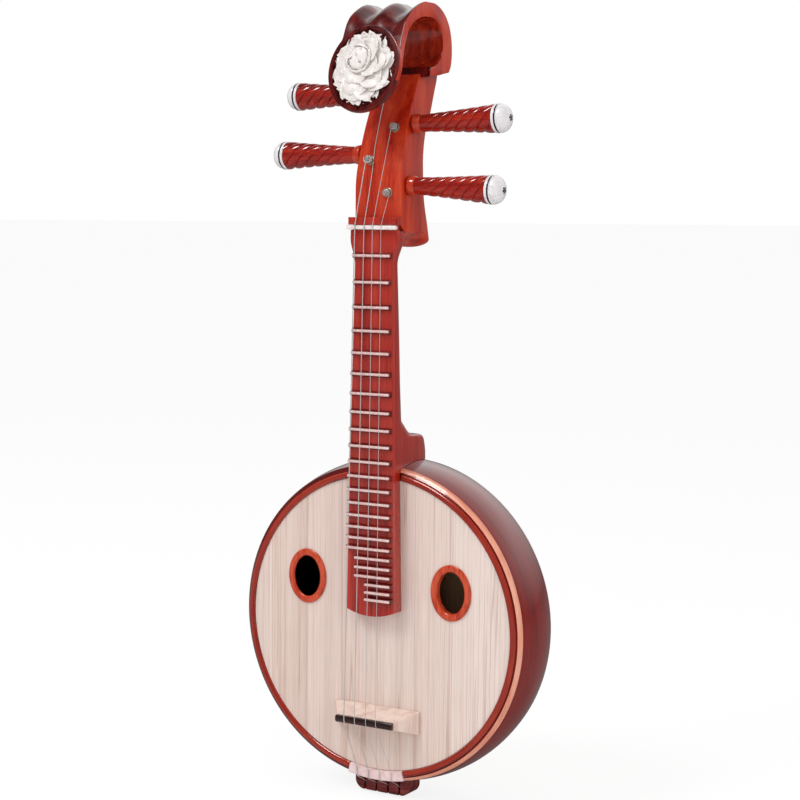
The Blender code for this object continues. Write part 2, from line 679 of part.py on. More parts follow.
def stem_ring(front, z_front, back, z_back, half):
    """A section of the stem with eased corners, from its front edge to its back edge."""
    corner = STEM_CORNER
    length = back - front
    ease = corner * 0.3
    shape = [(0.0, half - ease), (ease / length, half), (1 - corner / length, half),
             (1 - corner * 0.3 / length, half - corner * 0.3), (1.0, half - corner)]
    ring = [(share, x) for share, x in shape] + [(share, -x) for share, x in reversed(shape)]
    return [(x, deep(front + length * share), z_front + (z_back - z_front) * share) for share, x in ring]


def make_head(surface, carving):
    """Stem, chin, scroll with its cross bore, and the rosette disc on the scroll's arm."""
    rings = []
    for up, back, half in STEM_BACK:
        rings.append(stem_ring(face_depth(up), NUT_Z + up, back, NUT_Z + up, half))
    front, low, back, high = STEM_TOP
    rings.append(stem_ring(front, NUT_Z + low, back, NUT_Z + high, STEM_BACK[-1][2]))
    head = loft("head", rings, surface, smooth=30)
    boolean(head, make_scroll(), 'UNION')
    boolean(head, make_arm_flare(), 'UNION')
    boolean(head, make_disc_blank(), 'UNION')
    boolean(head, chin_cutter())
    boolean(head, scarf_cutter("head_scarf", above=False))
    make_flower(carving)
    return head


def chin_cutter():
    """The space under the chin: its ceiling arches at the sides and hangs lower at the middle."""
    half = STEM_BACK[0][2]
    rings = []
    for i in range(-5, 6):
        x = i * half / 4.4
        drop = max(1 - (x / half) ** 2, 0.0)
        ceiling = [(x, deep(d), NUT_Z + up - tongue * drop)
                   for (d, up), tongue in zip(CHIN_SIDE, CHIN_TONGUE)]
        low = NUT_Z - CHIN_FLOOR
        floor = [(x, deep(CHIN_SIDE[-1][0]), low), (x, deep(CHIN_SIDE[0][0]), low)]
        rings.append(ceiling + floor)
    return loft("chin_space", rings)


def make_scroll():
    """The scroll and its arm: one side outline, repeated across with a wave in its outer edge."""
    rings = []
    for i in range(SCROLL_STATIONS):
        x = SCROLL_HALF_WIDTH * (2 * i / (SCROLL_STATIONS - 1) - 1)
        dip = SCROLL_WAVE * (1 - math.cos(2 * math.pi * x / SCROLL_HALF_WIDTH)) / 2
        outline = []
        for (d, z, share), (d0, z0), (d1, z1) in outer_with_neighbours():
            along = Vector((d1 - d0, z1 - z0)).normalized()
            inward = Vector((-along.y, along.x))
            outline.append((d + inward.x * dip * share, z + inward.y * dip * share))
        outline += [*ARM_TIP, *ARM_INNER, *bore_points(), *THROAT]
        rings.append([(x, deep(d), NUT_Z + up) for d, up in outline])
    return loft("scroll", rings)


def make_arm_flare():
    """The lower half of the scroll's arm, which widens to the disc and backs it."""
    rings = []
    for up, front, back, half in ARM_FLARE:
        corners = ((-half, front), (half, front), (half, back), (-half, back))
        rings.append([(x, deep(d), NUT_Z + up) for x, d in corners])
    return loft("arm_flare", rings)


def outer_with_neighbours():
    """Each outer point of the scroll with the points before and after it."""
    flat = [(d, z) for d, z, _ in SCROLL_OUTER]
    for i, point in enumerate(SCROLL_OUTER):
        yield point, flat[max(i - 1, 0)], flat[min(i + 1, len(flat) - 1)]


def bore_points():
    """The cross bore, from the arm's side over the top and down to the throat."""
    start = math.radians(96)
    end = math.radians(-88)
    points = []
    for i in range(BORE_STEPS + 1):
        angle = start + (end - start) * i / BORE_STEPS
        points.append((BORE_DEPTH + BORE_RADIUS * math.cos(angle),
                       BORE_HEIGHT + BORE_RADIUS * math.sin(angle)))
    return points


def disc_frame():
    """A frame on the disc's front face: X points out of it, Z up along it."""
    normal = Vector((0, -math.cos(DISC_LEAN), math.sin(DISC_LEAN)))
    upward = Vector((0, math.sin(DISC_LEAN), math.cos(DISC_LEAN)))
    side = upward.cross(normal)
    frame = Matrix((normal, side, upward)).transposed().to_4x4()
    frame.translation = Vector((0, deep(DISC_DEPTH), NUT_Z + DISC_HEIGHT))
    return frame


def make_disc_blank():
    """The round plate with a raised rim and a recess for the flower."""
    ease = DISC_EDGE
    recess = DISC_RADIUS - DISC_RIM
    profile = [(-DISC_THICK, DISC_RADIUS - DISC_BACK_EDGE),
               (-DISC_THICK + DISC_BACK_EDGE, DISC_RADIUS), (-ease, DISC_RADIUS),
               (0.0, DISC_RADIUS - ease), (0.0, recess + ease / 2), (-ease / 2, recess),
               (-DISC_RECESS, recess)]
    stretch = Matrix.Diagonal((1.0, 1.0, DISC_OVAL, 1.0))
    return spindle("disc_blank", disc_frame() @ stretch, profile, segments=DISC_SEGMENTS)


def make_flower(surface):
    """A generic carved blossom: three tiers of petals round a small heart."""
    stretch = Matrix.Diagonal((1.0, 1.0, DISC_OVAL, 1.0))
    frame = disc_frame() @ stretch @ Matrix.Translation((-DISC_RECESS + GAP, 0, 0))
    rings = []
    for share, height, petals, lobe, phase in FLOWER_TIERS:
        ring = []
        for i in range(DISC_SEGMENTS):
            angle = 2 * math.pi * i / DISC_SEGMENTS
            radius = FLOWER_RADIUS * share * (1 - lobe + lobe * math.cos(petals * angle + phase))
            ring.append(frame @ Vector((height, radius * math.sin(angle), radius * math.cos(angle))))
        rings.append(ring)
    loft("flower_carving", rings, surface, smooth=50)


def post_axes(height):
    """The head face's outward normal and its upward direction at a post."""
    slope = face_slope(height)
    scale = math.sqrt(1 + slope ** 2)
    normal = Vector((0, -1 / scale, slope / scale))
    upward = Vector((0, slope / scale, 1 / scale))
    return normal, upward


def tuner_frames(side, height, depth, tilt):
    """Frames of a tuner: its post (X out of the head's face) and its peg (X away from the head)."""
    normal, upward = post_axes(height)
    foot = Vector((side * POST_X, deep(face_depth(height)), NUT_Z + height))
    centre = foot - normal * depth
    across = Vector((side, 0, 0))
    peg_out = across * math.cos(tilt) + upward * math.sin(tilt)
    peg_up = upward * math.cos(tilt) - across * math.sin(tilt)
    post = Matrix((normal, peg_up, normal.cross(peg_up))).transposed().to_4x4()
    post.translation = centre
    worm = Matrix((peg_out, -peg_up, peg_out.cross(-peg_up))).transposed().to_4x4()
    worm.translation = centre + peg_up * (WHEEL_PITCH_RADIUS + WORM_PITCH_RADIUS)
    return post, worm


def peg_start(side, tilt):
    """Where the handle begins along the peg's axis, just outside the head's side."""
    return (PEG_ROOT_X - POST_X) / math.cos(tilt)


def make_tuner(number, head, woods):
    """Post with worm wheel, worm on its shaft, fluted handle and end cap, and their bores."""
    side, height, depth, tilt = TUNERS[number - 1]
    post_frame, worm_frame = tuner_frames(side, height, depth, tilt)
    make_post(number, post_frame, depth, woods["steel"])
    make_worm(number, worm_frame, peg_start(side, tilt), woods["steel"])
    make_handle(number, worm_frame, peg_start(side, tilt), woods)
    bore_head(number, head, post_frame, worm_frame, depth)


def make_post(number, frame, depth, steel):
    """A string post with a rounded tip, joined to a worm wheel with slightly twisted teeth."""
    tip = depth + POST_PROUD
    profile = [(-WHEEL_HALF_THICK - POST_TAIL, POST_RADIUS), (tip - POST_TIP_ROUND, POST_RADIUS),
               (tip, POST_RADIUS - POST_TIP_ROUND)]
    post = spindle(f"string_post_{number}", frame, profile, steel, segments=14)
    root = WHEEL_PITCH_RADIUS - WHEEL_TOOTH_HEIGHT * 0.55
    crest = WHEEL_PITCH_RADIUS + WHEEL_TOOTH_HEIGHT * 0.45
    pitch = 2 * math.pi / WHEEL_TEETH
    lead_slope = WHEEL_PITCH_RADIUS / WHEEL_TEETH / WORM_PITCH_RADIUS
    half_tooth = pitch / 4 - TOOTH_CLEARANCE / WHEEL_PITCH_RADIUS
    rings = []
    for along in (-WHEEL_HALF_THICK, WHEEL_HALF_THICK):
        twist = along * lead_slope / WHEEL_PITCH_RADIUS
        ring = []
        for tooth in range(WHEEL_TEETH):
            middle = (tooth + 0.5) * pitch + twist
            for radius, offset in ((root, -1.45), (crest, -0.6), (crest, 0.6), (root, 1.45)):
                angle = middle + half_tooth * offset
                ring.append(frame @ Vector((along, radius * math.cos(angle), radius * math.sin(angle))))
        rings.append(ring)
    boolean(post, loft(f"wheel_{number}", rings), 'UNION')
    move_origin(post, frame)


def make_worm(number, frame, handle_start, steel):
    """A shaft with a right-hand thread over the wheel, a journal, a collar and a socket end."""
    lead = 2 * math.pi * WHEEL_PITCH_RADIUS / WHEEL_TEETH
    root = WORM_PITCH_RADIUS - WORM_THREAD_HEIGHT * 0.6
    crest = WORM_PITCH_RADIUS + WORM_THREAD_HEIGHT * 0.4
    steps = WORM_STEPS
    rows = int(WORM_TURNS * steps)
    heights = [1.0, 1.0, 0.5, 0.0, 0.0, 0.0, 0.0, 0.0, 0.5, 1.0][:steps]
    start = -rows // 2
    rings = []
    shoulder = start * lead / steps - THREAD_RUNOUT
    tail = shoulder - SHAFT_TAIL
    ends_in = [(tail, SHAFT_RADIUS - SHAFT_END_ROUND), (tail + SHAFT_END_ROUND, SHAFT_RADIUS),
               (shoulder, SHAFT_RADIUS)]
    collar = handle_start - COLLAR_LENGTH
    bore = worm_bore_radius() - GAP
    ends_out = [(collar, SHAFT_RADIUS), (collar, bore), (handle_start - COLLAR_PLAY, bore),
                (handle_start - COLLAR_PLAY, SHAFT_RADIUS),
                (handle_start + SHAFT_SOCKET - 2 * GAP, SHAFT_RADIUS)]
    for along, radius in ends_in:
        rings.append(circle_ring(frame, along, [radius] * steps))
    for row in range(start, start + rows + 1):
        fade = min(1.0, (row - start) / 4, (start + rows - row) / 4)
        radii = [root + (crest - root) * heights[(row - i) % steps] * fade for i in range(steps)]
        rings.append(circle_ring(frame, row * lead / steps, radii))
    for along, radius in ends_out:
        rings.append(circle_ring(frame, along, [radius] * steps))
    worm = loft(f"peg_worm_{number}", rings, steel, smooth=50)
    move_origin(worm, frame)


def circle_ring(frame, along, radii):
    """A ring round a frame's X axis with its own radius at each angle."""
    count = len(radii)
    ring = []
    for i, radius in enumerate(radii):
        angle = 2 * math.pi * i / count
        ring.append(frame @ Vector((along, radius * math.cos(angle), radius * math.sin(angle))))
    return ring


def worm_bore_radius():
    return WORM_PITCH_RADIUS + WORM_THREAD_HEIGHT * 0.4 + 2 * GAP


def handle_radius(share):
    """Radius of the handle from its collar to its end, swelling slowly."""
    return PEG_ROOT_RADIUS + (PEG_END_RADIUS - PEG_ROOT_RADIUS) * share ** 1.2


def make_handle(number, frame, start, woods):
    """The fluted handle, bored for the shaft, and the ringed cap with its domed end."""
    socket = SHAFT_RADIUS + GAP
    segments = 3 * PEG_FLUTES
    collar_end = start + PEG_COLLAR_LENGTH
    end = start + PEG_HANDLE_LENGTH
    rings = [circle_ring(frame, start + SHAFT_SOCKET, [socket] * segments),
             circle_ring(frame, start, [socket] * segments),
             circle_ring(frame, start, [PEG_COLLAR_RADIUS - PEG_COLLAR_ROUND] * segments),
             circle_ring(frame, start + PEG_COLLAR_ROUND, [PEG_COLLAR_RADIUS] * segments),
             circle_ring(frame, collar_end - PEG_COLLAR_ROUND, [PEG_COLLAR_RADIUS] * segments),
             circle_ring(frame, collar_end, [PEG_ROOT_RADIUS] * segments)]
    for row in range(1, PEG_ROWS + 1):
        share = row / PEG_ROWS
        along = collar_end + (end - collar_end) * share
        radius = handle_radius(share)
        depth = PEG_FLUTE_DEEP * min(3 * share, 1.0 if row < PEG_ROWS else PEG_FLUTE_END)
        twist = -2 * math.pi * (along - collar_end) / PEG_FLUTE_LEAD
        ring = []
        for i in range(segments):
            angle = 2 * math.pi * i / segments + twist
            reach = radius * (1 - depth if i % 3 == 0 else 1.0)
            ring.append(frame @ Vector((along, reach * math.cos(angle), reach * math.sin(angle))))
        rings.append(ring)
    handle = loft(f"peg_handle_{number}", rings, woods["red"], smooth=25)
    move_origin(handle, frame)
    base = end + GAP
    dome = base + CAP_RING_LENGTH
    profile = [(base, CAP_RADIUS - EDGE_ROUND), (base + EDGE_ROUND, CAP_RADIUS), (dome, CAP_RADIUS),
               (dome + GAP, CAP_RADIUS - CAP_STEP)]
    for i in range(1, 5):
        angle = math.pi / 2 * i / 5
        profile.append((dome + CAP_DOME * math.sin(angle), (CAP_RADIUS - CAP_STEP) * math.cos(angle)))
    cap = spindle(f"peg_cap_{number}", frame, profile, woods["bone"], segments=16)
    move_origin(cap, frame)


def bore_head(number, head, post_frame, worm_frame, depth):
    """Bores for the post, the wheel, the worm with its collar, and the shaft's far journal."""
    post_bore = POST_RADIUS + GAP
    tail = -WHEEL_HALF_THICK - POST_TAIL - GAP
    wheel_bore = WHEEL_PITCH_RADIUS + WHEEL_TOOTH_HEIGHT * 0.45 + GAP
    slack = WHEEL_HALF_THICK + GAP
    lead = 2 * math.pi * WHEEL_PITCH_RADIUS / WHEEL_TEETH
    worm_end = int(WORM_TURNS * WORM_STEPS) // 2 * lead / WORM_STEPS + THREAD_RUNOUT + COLLAR_PLAY
    bores = (
        (f"post_bore_{number}", post_frame, tail, depth + CUT_REACH, post_bore, 14),
        (f"wheel_bore_{number}", post_frame, -slack, slack, wheel_bore, 18),
        (f"worm_bore_{number}", worm_frame, -worm_end, 2 * CUT_REACH, worm_bore_radius(), 10),
        (f"shaft_bore_{number}", worm_frame, -worm_end - SHAFT_TAIL - GAP, 0.0,
         SHAFT_RADIUS + GAP, 10),
    )
    for name, frame, start, end, radius, segments in bores:
        boolean(head, spindle(name, frame, [(start, radius), (end, radius)], segments=segments))


def make_bridge(surface, dark):
    """The pale base with sloped shoulders and flat feet, and the dark strip that holds the strings."""
    levels = (
        (-GAP, BRIDGE_FOOT_HALF_WIDTH, BRIDGE_FOOT_HALF_LENGTH),
        (-BRIDGE_FOOT_HEIGHT, BRIDGE_FOOT_HALF_WIDTH, BRIDGE_FOOT_HALF_LENGTH),
        (-BRIDGE_BASE_HEIGHT, BRIDGE_TOP_HALF_WIDTH, BRIDGE_TOP_HALF_LENGTH),
    )
    rings = []
    for depth, half, length in levels:
        corners = ((-half, -length), (half, -length), (half, length), (-half, length))
        rings.append([(BRIDGE_X + x, deep(depth), BRIDGE_Z + up) for x, up in corners])
    base = loft("bridge_base", rings, surface)
    soften(base, EDGE_ROUND)
    foot = -BRIDGE_BASE_HEIGHT - GAP
    front = foot - BRIDGE_SADDLE_HEIGHT
    half = BRIDGE_TOP_HALF_LENGTH - BRIDGE_SADDLE_INSET
    shoulder = front + BRIDGE_SADDLE_ROUND
    section = [(foot, -half), (foot, half), (shoulder, half), (front, half * 0.5),
               (front, -half * 0.2), (shoulder, -half)]
    rings = [[(BRIDGE_X + x, deep(d), BRIDGE_Z + up) for d, up in section]
             for x in (-BRIDGE_TOP_HALF_WIDTH, BRIDGE_TOP_HALF_WIDTH)]
    loft("bridge_saddle", rings, dark)
    return front


def make_tail(surface, bone):
    """The bone tail saddle on the rim and the slotted tailpiece below the body."""
    inner = BOARD_RADIUS + GAP
    seat = BEAD_SEAT_DEPTH - GAP
    ledge = CHAMFER_RADIUS - 2 * GAP
    fall = CHAMFER_FALL / CHAMFER_RUN
    low = CHAMFER_FRONT - (CHAMFER_RADIUS - ledge) * fall - 1.4 * GAP
    outer = TAIL_SADDLE_RADIUS
    top = -TAIL_SADDLE_PROUD
    ease = TAIL_SADDLE_ROUND
    profile = [(inner, seat), (ledge, seat), (ledge, low), (outer, low + (outer - ledge) * fall),
               (outer, top + ease), (outer - ease, top), (inner + EDGE_ROUND, top),
               (inner, top + EDGE_ROUND)]
    half = math.asin(TAIL_SADDLE_HALF_WIDTH / (inner + BEAD_WIDTH / 2))
    saddle = turned("tail_saddle", profile, bone, segments=10, start=math.pi - half, sweep=2 * half)
    boolean(saddle, box("saddle_top", -WALL_RADIUS, WALL_RADIUS, -CUT_REACH, CUT_REACH, -inner, 0.0))
    half_width = TAILPIECE_HALF_WIDTH
    corner = TAILPIECE_CORNER
    bottom = TAILPIECE_BOTTOM_Z
    inside = -WALL_RADIUS + TAILPIECE_INTO_WALL
    outline = [(-half_width, inside)]
    for sign in (-1, 1):
        for i in range(5):
            turn = math.pi / 2 * (i if sign < 0 else 4 - i) / 4
            outline.append((sign * (half_width - corner + corner * math.cos(turn)),
                            bottom + corner - corner * math.sin(turn)))
    outline.append((half_width, inside))
    back = TAILPIECE_FRONT + TAILPIECE_DEEP
    tailpiece = prism("tailpiece", outline, TAILPIECE_FRONT, back, surface)
    boolean(tailpiece, body_envelope("tailpiece_seat", GAP))
    for number, x in enumerate(TAILPIECE_SLOT_X, 1):
        slot = box(f"tail_slot_{number}", x - TAILPIECE_SLOT_WIDTH / 2, x + TAILPIECE_SLOT_WIDTH / 2,
                   TAILPIECE_FRONT - CUT_REACH, TAILPIECE_FRONT + TAILPIECE_SLOT_DEEP,
                   bottom - CUT_REACH, inside + CUT_REACH)
        boolean(tailpiece, slot)


def string_points(number, bridge_front):
    """The route of a string: tailpiece slot, tail saddle, bridge, nut, head and post."""
    clear = STRING_RADII[number] + GAP
    slot_x = TAILPIECE_SLOT_X[number]
    saddle_x = STRING_SADDLE_X[number]
    over = -TAIL_SADDLE_PROUD - clear
    edge = math.sqrt(TAIL_SADDLE_RADIUS ** 2 - saddle_x ** 2)
    sunk = deep(TAILPIECE_FRONT + STRING_IN_SLOT)
    points = [Vector((slot_x, sunk, TAILPIECE_BOTTOM_Z + up)) for up in STRING_SLOT_HEIGHTS]
    points += [Vector((saddle_x, deep(over + behind), up - edge)) for behind, up in SADDLE_BENDS]
    at_bridge = deep(bridge_front - clear)
    points += [Vector((STRING_BRIDGE_X[number], at_bridge, BRIDGE_Z + up)) for up in BRIDGE_CONTACT]
    at_nut = deep(NUT_FRONT - clear)
    points += [Vector((STRING_NUT_X[number], at_nut, NUT_Z + up)) for up in NUT_CONTACT]
    return points + head_run(number, points[-1])


def head_run(number, start):
    """From the nut over the head's face to the post, and round it with open turns."""
    radius = STRING_RADII[number]
    tuner_side, height, _, _ = TUNERS[WINDING_POSTS[number]]
    hand = WINDING_SIDES[number]
    normal, upward = post_axes(height)
    foot = Vector((tuner_side * POST_X, deep(face_depth(height)), NUT_Z + height))
    reach = POST_RADIUS + GAP + radius
    offset = start - foot
    across = offset.x
    along = offset.dot(upward)
    spread = math.acos(reach / math.hypot(across, along))
    turn = math.atan2(along, across) + hand * spread
    pitch = 2 * radius + WINDING_SPACE

    def on_post(angle, out):
        flat = Vector((1, 0, 0)) * reach * math.cos(angle) + upward * reach * math.sin(angle)
        return foot + flat + normal * out

    first = on_post(turn, WINDING_START)
    points = []
    for i in range(1, APPROACH_STEPS):
        point = start.lerp(first, i / APPROACH_STEPS)
        limit = deep(face_depth(point.z - NUT_Z)) - radius - 1.2 * GAP
        if point.y > limit:
            point.y = limit
        points.append(point)
    count = int(WINDING_TURNS[number] * WINDING_STEPS)
    for i in range(count + 1):
        share = i / WINDING_STEPS
        points.append(on_post(turn + hand * 2 * math.pi * share, WINDING_START + pitch * share))
    last = points[-1] - points[-2]
    points.append(points[-1] + last.normalized() * 2 * radius)
    return points


def least_winding_gap(points, radius):
    """The smallest space between two parts of a winding that are at least half a turn apart."""
    coil = points[-int((max(WINDING_TURNS) + 0.5) * WINDING_STEPS):]
    least = 1.0
    for i, one in enumerate(coil):
        for other in coil[i + WINDING_STEPS // 2:]:
            least = min(least, (one - other).length - 2 * radius)
    return least


def make_strings(surface, bridge_front):
    for number, radius in enumerate(STRING_RADII):
        points = string_points(number, bridge_front)
        curve = bpy.data.curves.new(f"string_{number + 1}", 'CURVE')
        curve.dimensions = '3D'
        curve.bevel_depth = radius
        curve.bevel_resolution = 1
        curve.use_fill_caps = True
        spline = curve.splines.new('POLY')
        spline.points.add(len(points) - 1)
        for slot, point in zip(spline.points, points):
            slot.co = (*point, 1.0)
        curve.materials.append(surface)
        made = bpy.data.objects.new(f"string_{number + 1}", curve)
        bpy.context.collection.objects.link(made)
        gap = least_winding_gap(points, radius)
        print(f"string_{number + 1} winding: least gap to itself {gap * 1000:.2f} mm")


def build():
    for old in list(bpy.data.objects):
        bpy.data.objects.remove(old)
    woods = {
        "spruce": material("soundboard wood", (0.72, 0.50, 0.27), 0.45),
        "red": material("dark red lacquered wood", (0.16, 0.022, 0.014), 0.25),
        "orange": material("orange red wood", (0.48, 0.10, 0.03), 0.35),
        "back": material("back board wood", (0.60, 0.38, 0.20), 0.45),
        "bone": material("bone", (0.82, 0.76, 0.62), 0.40),
        "dark": material("dark saddle wood", (0.10, 0.03, 0.02), 0.35),
        "pale": material("pale bridge wood", (0.70, 0.52, 0.32), 0.50),
        "steel": material("steel", (0.60, 0.60, 0.60), 0.25, 1.0),
    }
    make_body(woods)
    make_neck(woods["red"])
    make_fingerboard(woods["red"], woods["bone"])
    make_frets(woods["bone"])
    head = make_head(woods["red"], woods["bone"])
    for number in range(1, len(TUNERS) + 1):
        make_tuner(number, head, woods)
    bridge_front = make_bridge(woods["pale"], woods["dark"])
    make_tail(woods["red"], woods["bone"])
    make_strings(woods["steel"], bridge_front)


build()
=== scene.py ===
import math

import bmesh
import bpy
from mathutils import Matrix, Vector


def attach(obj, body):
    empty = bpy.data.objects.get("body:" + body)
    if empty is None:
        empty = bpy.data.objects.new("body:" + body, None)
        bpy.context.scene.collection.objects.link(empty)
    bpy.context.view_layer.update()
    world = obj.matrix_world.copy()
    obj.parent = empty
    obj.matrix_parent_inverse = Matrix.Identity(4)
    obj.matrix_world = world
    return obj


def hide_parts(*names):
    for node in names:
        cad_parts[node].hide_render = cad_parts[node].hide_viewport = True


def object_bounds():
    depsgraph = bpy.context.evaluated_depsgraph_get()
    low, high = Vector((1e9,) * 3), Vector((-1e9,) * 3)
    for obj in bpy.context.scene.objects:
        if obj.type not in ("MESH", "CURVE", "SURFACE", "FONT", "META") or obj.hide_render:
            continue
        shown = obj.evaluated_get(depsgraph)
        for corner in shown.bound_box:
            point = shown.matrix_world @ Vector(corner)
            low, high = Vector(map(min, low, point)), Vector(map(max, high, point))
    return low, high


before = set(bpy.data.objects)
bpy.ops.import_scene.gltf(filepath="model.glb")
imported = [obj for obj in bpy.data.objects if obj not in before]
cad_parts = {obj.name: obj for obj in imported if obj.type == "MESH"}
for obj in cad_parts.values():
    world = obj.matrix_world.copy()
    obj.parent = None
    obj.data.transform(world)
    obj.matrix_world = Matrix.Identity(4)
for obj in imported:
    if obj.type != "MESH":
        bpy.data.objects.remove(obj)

cad_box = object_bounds()


# The side wall is a long strip of red hardwood, bent round and bulging a little, with a chamfer at
# its front edge. Linings for the two boards and blocks for neck and tail are glued inside. It is
# stained deep red and lacquered to a high gloss.
BODY_DEPTH = 0.057
FIT = 0.0003
BOARD_RADIUS = 0.1274
BOARD_THICK = 0.004
BEAD_WIDTH = 0.0054
BEAD_SEAT = 0.0015
CHAMFER_RADIUS, CHAMFER_FRONT = 0.1337, 0.0004
WALL_RADIUS, WALL_FRONT = 0.1369, 0.0030
WALL_BULGE, BULGE_DEPTH, BULGE_RUN = 0.00424, 0.0309, 0.0279
BACK_ROUND = 0.0022
BACK_BOARD_RADIUS, BACK_BOARD_THICK = 0.131, 0.004
INNER_RADIUS, FRONT_LEDGE, BACK_LEDGE = 0.129, 0.121, 0.124
LEDGE_THICK, LEDGE_SLOPE = 0.008, 0.004
BLOCK_HALF, BLOCK_THICK = 0.020, 0.016


def back(depth):
    """Y of a plane this far behind the soundboard's face."""
    return depth - BODY_DEPTH


def linear(*srgb):
    """Linear colour of an sRGB colour given in 0 to 255."""
    return tuple(c / 3294.6 if c < 11 else ((c / 255 + 0.055) / 1.055) ** 2.4 for c in srgb)


def node(tree, kind, wired=None, **settings):
    """A new shader node with its settings and with values or links for its inputs."""
    made = tree.nodes.new(kind)
    for key, value in settings.items():
        setattr(made, key, value)
    for key, value in (wired or {}).items():
        if isinstance(value, bpy.types.NodeSocket):
            tree.links.new(value, made.inputs[key])
        else:
            made.inputs[key].default_value = value
    return made


def tones(tree, factor, *stops):
    """A colour ramp from (place, sRGB colour) stops."""
    ramp = node(tree, "ShaderNodeValToRGB", {"Fac": factor})
    band = ramp.color_ramp
    while len(band.elements) < len(stops):
        band.elements.new(0.5)
    for element, (place, colour) in zip(band.elements, stops):
        element.position = place
        element.color = (*linear(*colour), 1.0)
    return ramp.outputs["Color"]


def blank(name, roughness=0.4, coat=0.0, metallic=0.0, specular=0.5):
    """A new material, its shader's plain values set, and the Object coordinates."""
    made = bpy.data.materials.new(name)
    made.use_nodes = True
    tree = made.node_tree
    shader = tree.nodes["Principled BSDF"]
    for key, value in (("Roughness", roughness), ("Coat Weight", coat), ("Coat Roughness", 0.05),
                       ("Metallic", metallic), ("Specular IOR Level", specular)):
        shader.inputs[key].default_value = value
    place = node(tree, "ShaderNodeTexCoord").outputs["Object"]
    return made, tree, shader, place


def bent_grain(tree, place):
    """Coordinates that run round the body, so that the grain follows the bent wood."""
    parts = node(tree, "ShaderNodeSeparateXYZ", {"Vector": place})
    turn = node(tree, "ShaderNodeMath", {0: parts.outputs["X"], 1: parts.outputs["Z"]}, operation='ARCTAN2')
    run = node(tree, "ShaderNodeMath", {0: turn.outputs[0], 1: 0.137}, operation='MULTIPLY')
    flat = node(tree, "ShaderNodeVectorMath", {0: place, 1: (1.0, 0.0, 1.0)}, operation='MULTIPLY')
    reach = node(tree, "ShaderNodeVectorMath", {0: flat.outputs[0]}, operation='LENGTH')
    return node(tree, "ShaderNodeCombineXYZ", {"X": run.outputs[0], "Y": parts.outputs["Y"],
                                               "Z": reach.outputs["Value"]}).outputs[0]


def wood(name, colours, along="Z", bands=55, fibres=700, stretch=24, roughness=0.3, coat=1.0,
         relief=0.12, bent=False, specular=0.5):
    """Wood with broad bands and fine fibres along its grain, under a clear coat."""
    made, tree, shader, place = blank(name, roughness, coat, specular=specular)
    if bent:
        place = bent_grain(tree, place)
    drawn = []
    for size in (bands, fibres):
        scale = [size, size, size]
        scale["XYZ".index(along)] = size / stretch
        spread = node(tree, "ShaderNodeMapping", {"Vector": place, "Scale": scale})
        drawn.append(node(tree, "ShaderNodeTexNoise", {"Vector": spread.outputs[0], "Scale": 1.0, "Detail": 3.0,
                                                       "Roughness": 0.6}).outputs[0])
    mixed = node(tree, "ShaderNodeMath", {0: drawn[1], 1: 0.5, 2: drawn[0]}, operation='MULTIPLY_ADD')
    steps = [0.55 + 0.4 * i / (len(colours) - 1) for i in range(len(colours))]
    tree.links.new(tones(tree, mixed.outputs[0], *zip(steps, colours)), shader.inputs["Base Color"])
    worn = node(tree, "ShaderNodeMapRange", {0: drawn[0], 1: 0.3, 2: 0.7, 3: roughness * 0.8, 4: roughness * 1.25})
    tree.links.new(worn.outputs[0], shader.inputs["Roughness"])
    raised = node(tree, "ShaderNodeBump", {"Height": drawn[1], "Strength": relief, "Distance": 0.0003})
    tree.links.new(raised.outputs[0], shader.inputs["Normal"])
    return made


def finished(name, bm, finish, nodes=(), body="instrument", sharp=35):
    """Merge doubles, turn the faces out, smooth between sharp edges and hang the piece on its body."""
    bmesh.ops.remove_doubles(bm, verts=bm.verts, dist=1e-6)
    bmesh.ops.recalc_face_normals(bm, faces=bm.faces)
    mesh = bpy.data.meshes.new(name)
    bm.to_mesh(mesh)
    bm.free()
    for each in (finish if isinstance(finish, tuple) else (finish,)):
        mesh.materials.append(each)
    mesh.shade_smooth()
    mesh.set_sharp_from_angle(angle=math.radians(sharp))
    made = bpy.data.objects.new(name, mesh)
    bpy.context.collection.objects.link(made)
    if nodes:
        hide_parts(*nodes)
    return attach(made, body)


def spun(bm, profile, steps=180, start=0.0, sweep=2 * math.pi):
    """Spin a closed (radius, depth) profile round the body's axis; angles run from the top."""
    verts = [bm.verts.new((r * math.sin(start), back(d), r * math.cos(start))) for r, d in profile]
    edges = [bm.edges.new(pair) for pair in zip(verts, verts[1:] + verts[:1])]
    full = sweep > 6.28
    cap = [] if full else [bm.faces.new(verts)]
    bmesh.ops.spin(bm, geom=verts + edges + cap, cent=(0, 0, 0), axis=(0, 1, 0), angle=sweep,
                   steps=steps, use_merge=full)


def bar(bm, low, high):
    """A closed block between two corners; returns its vertices."""
    middle = Matrix.Translation([(a + b) / 2 for a, b in zip(low, high)])
    size = Matrix.Diagonal([b - a for a, b in zip(low, high)] + [1.0])
    return bmesh.ops.create_cube(bm, size=1.0, matrix=middle @ size)["verts"]


def wall_radius(depth):
    """Outer radius of the bulging wall."""
    return WALL_RADIUS + WALL_BULGE * (1 - ((depth - BULGE_DEPTH) / BULGE_RUN) ** 2)


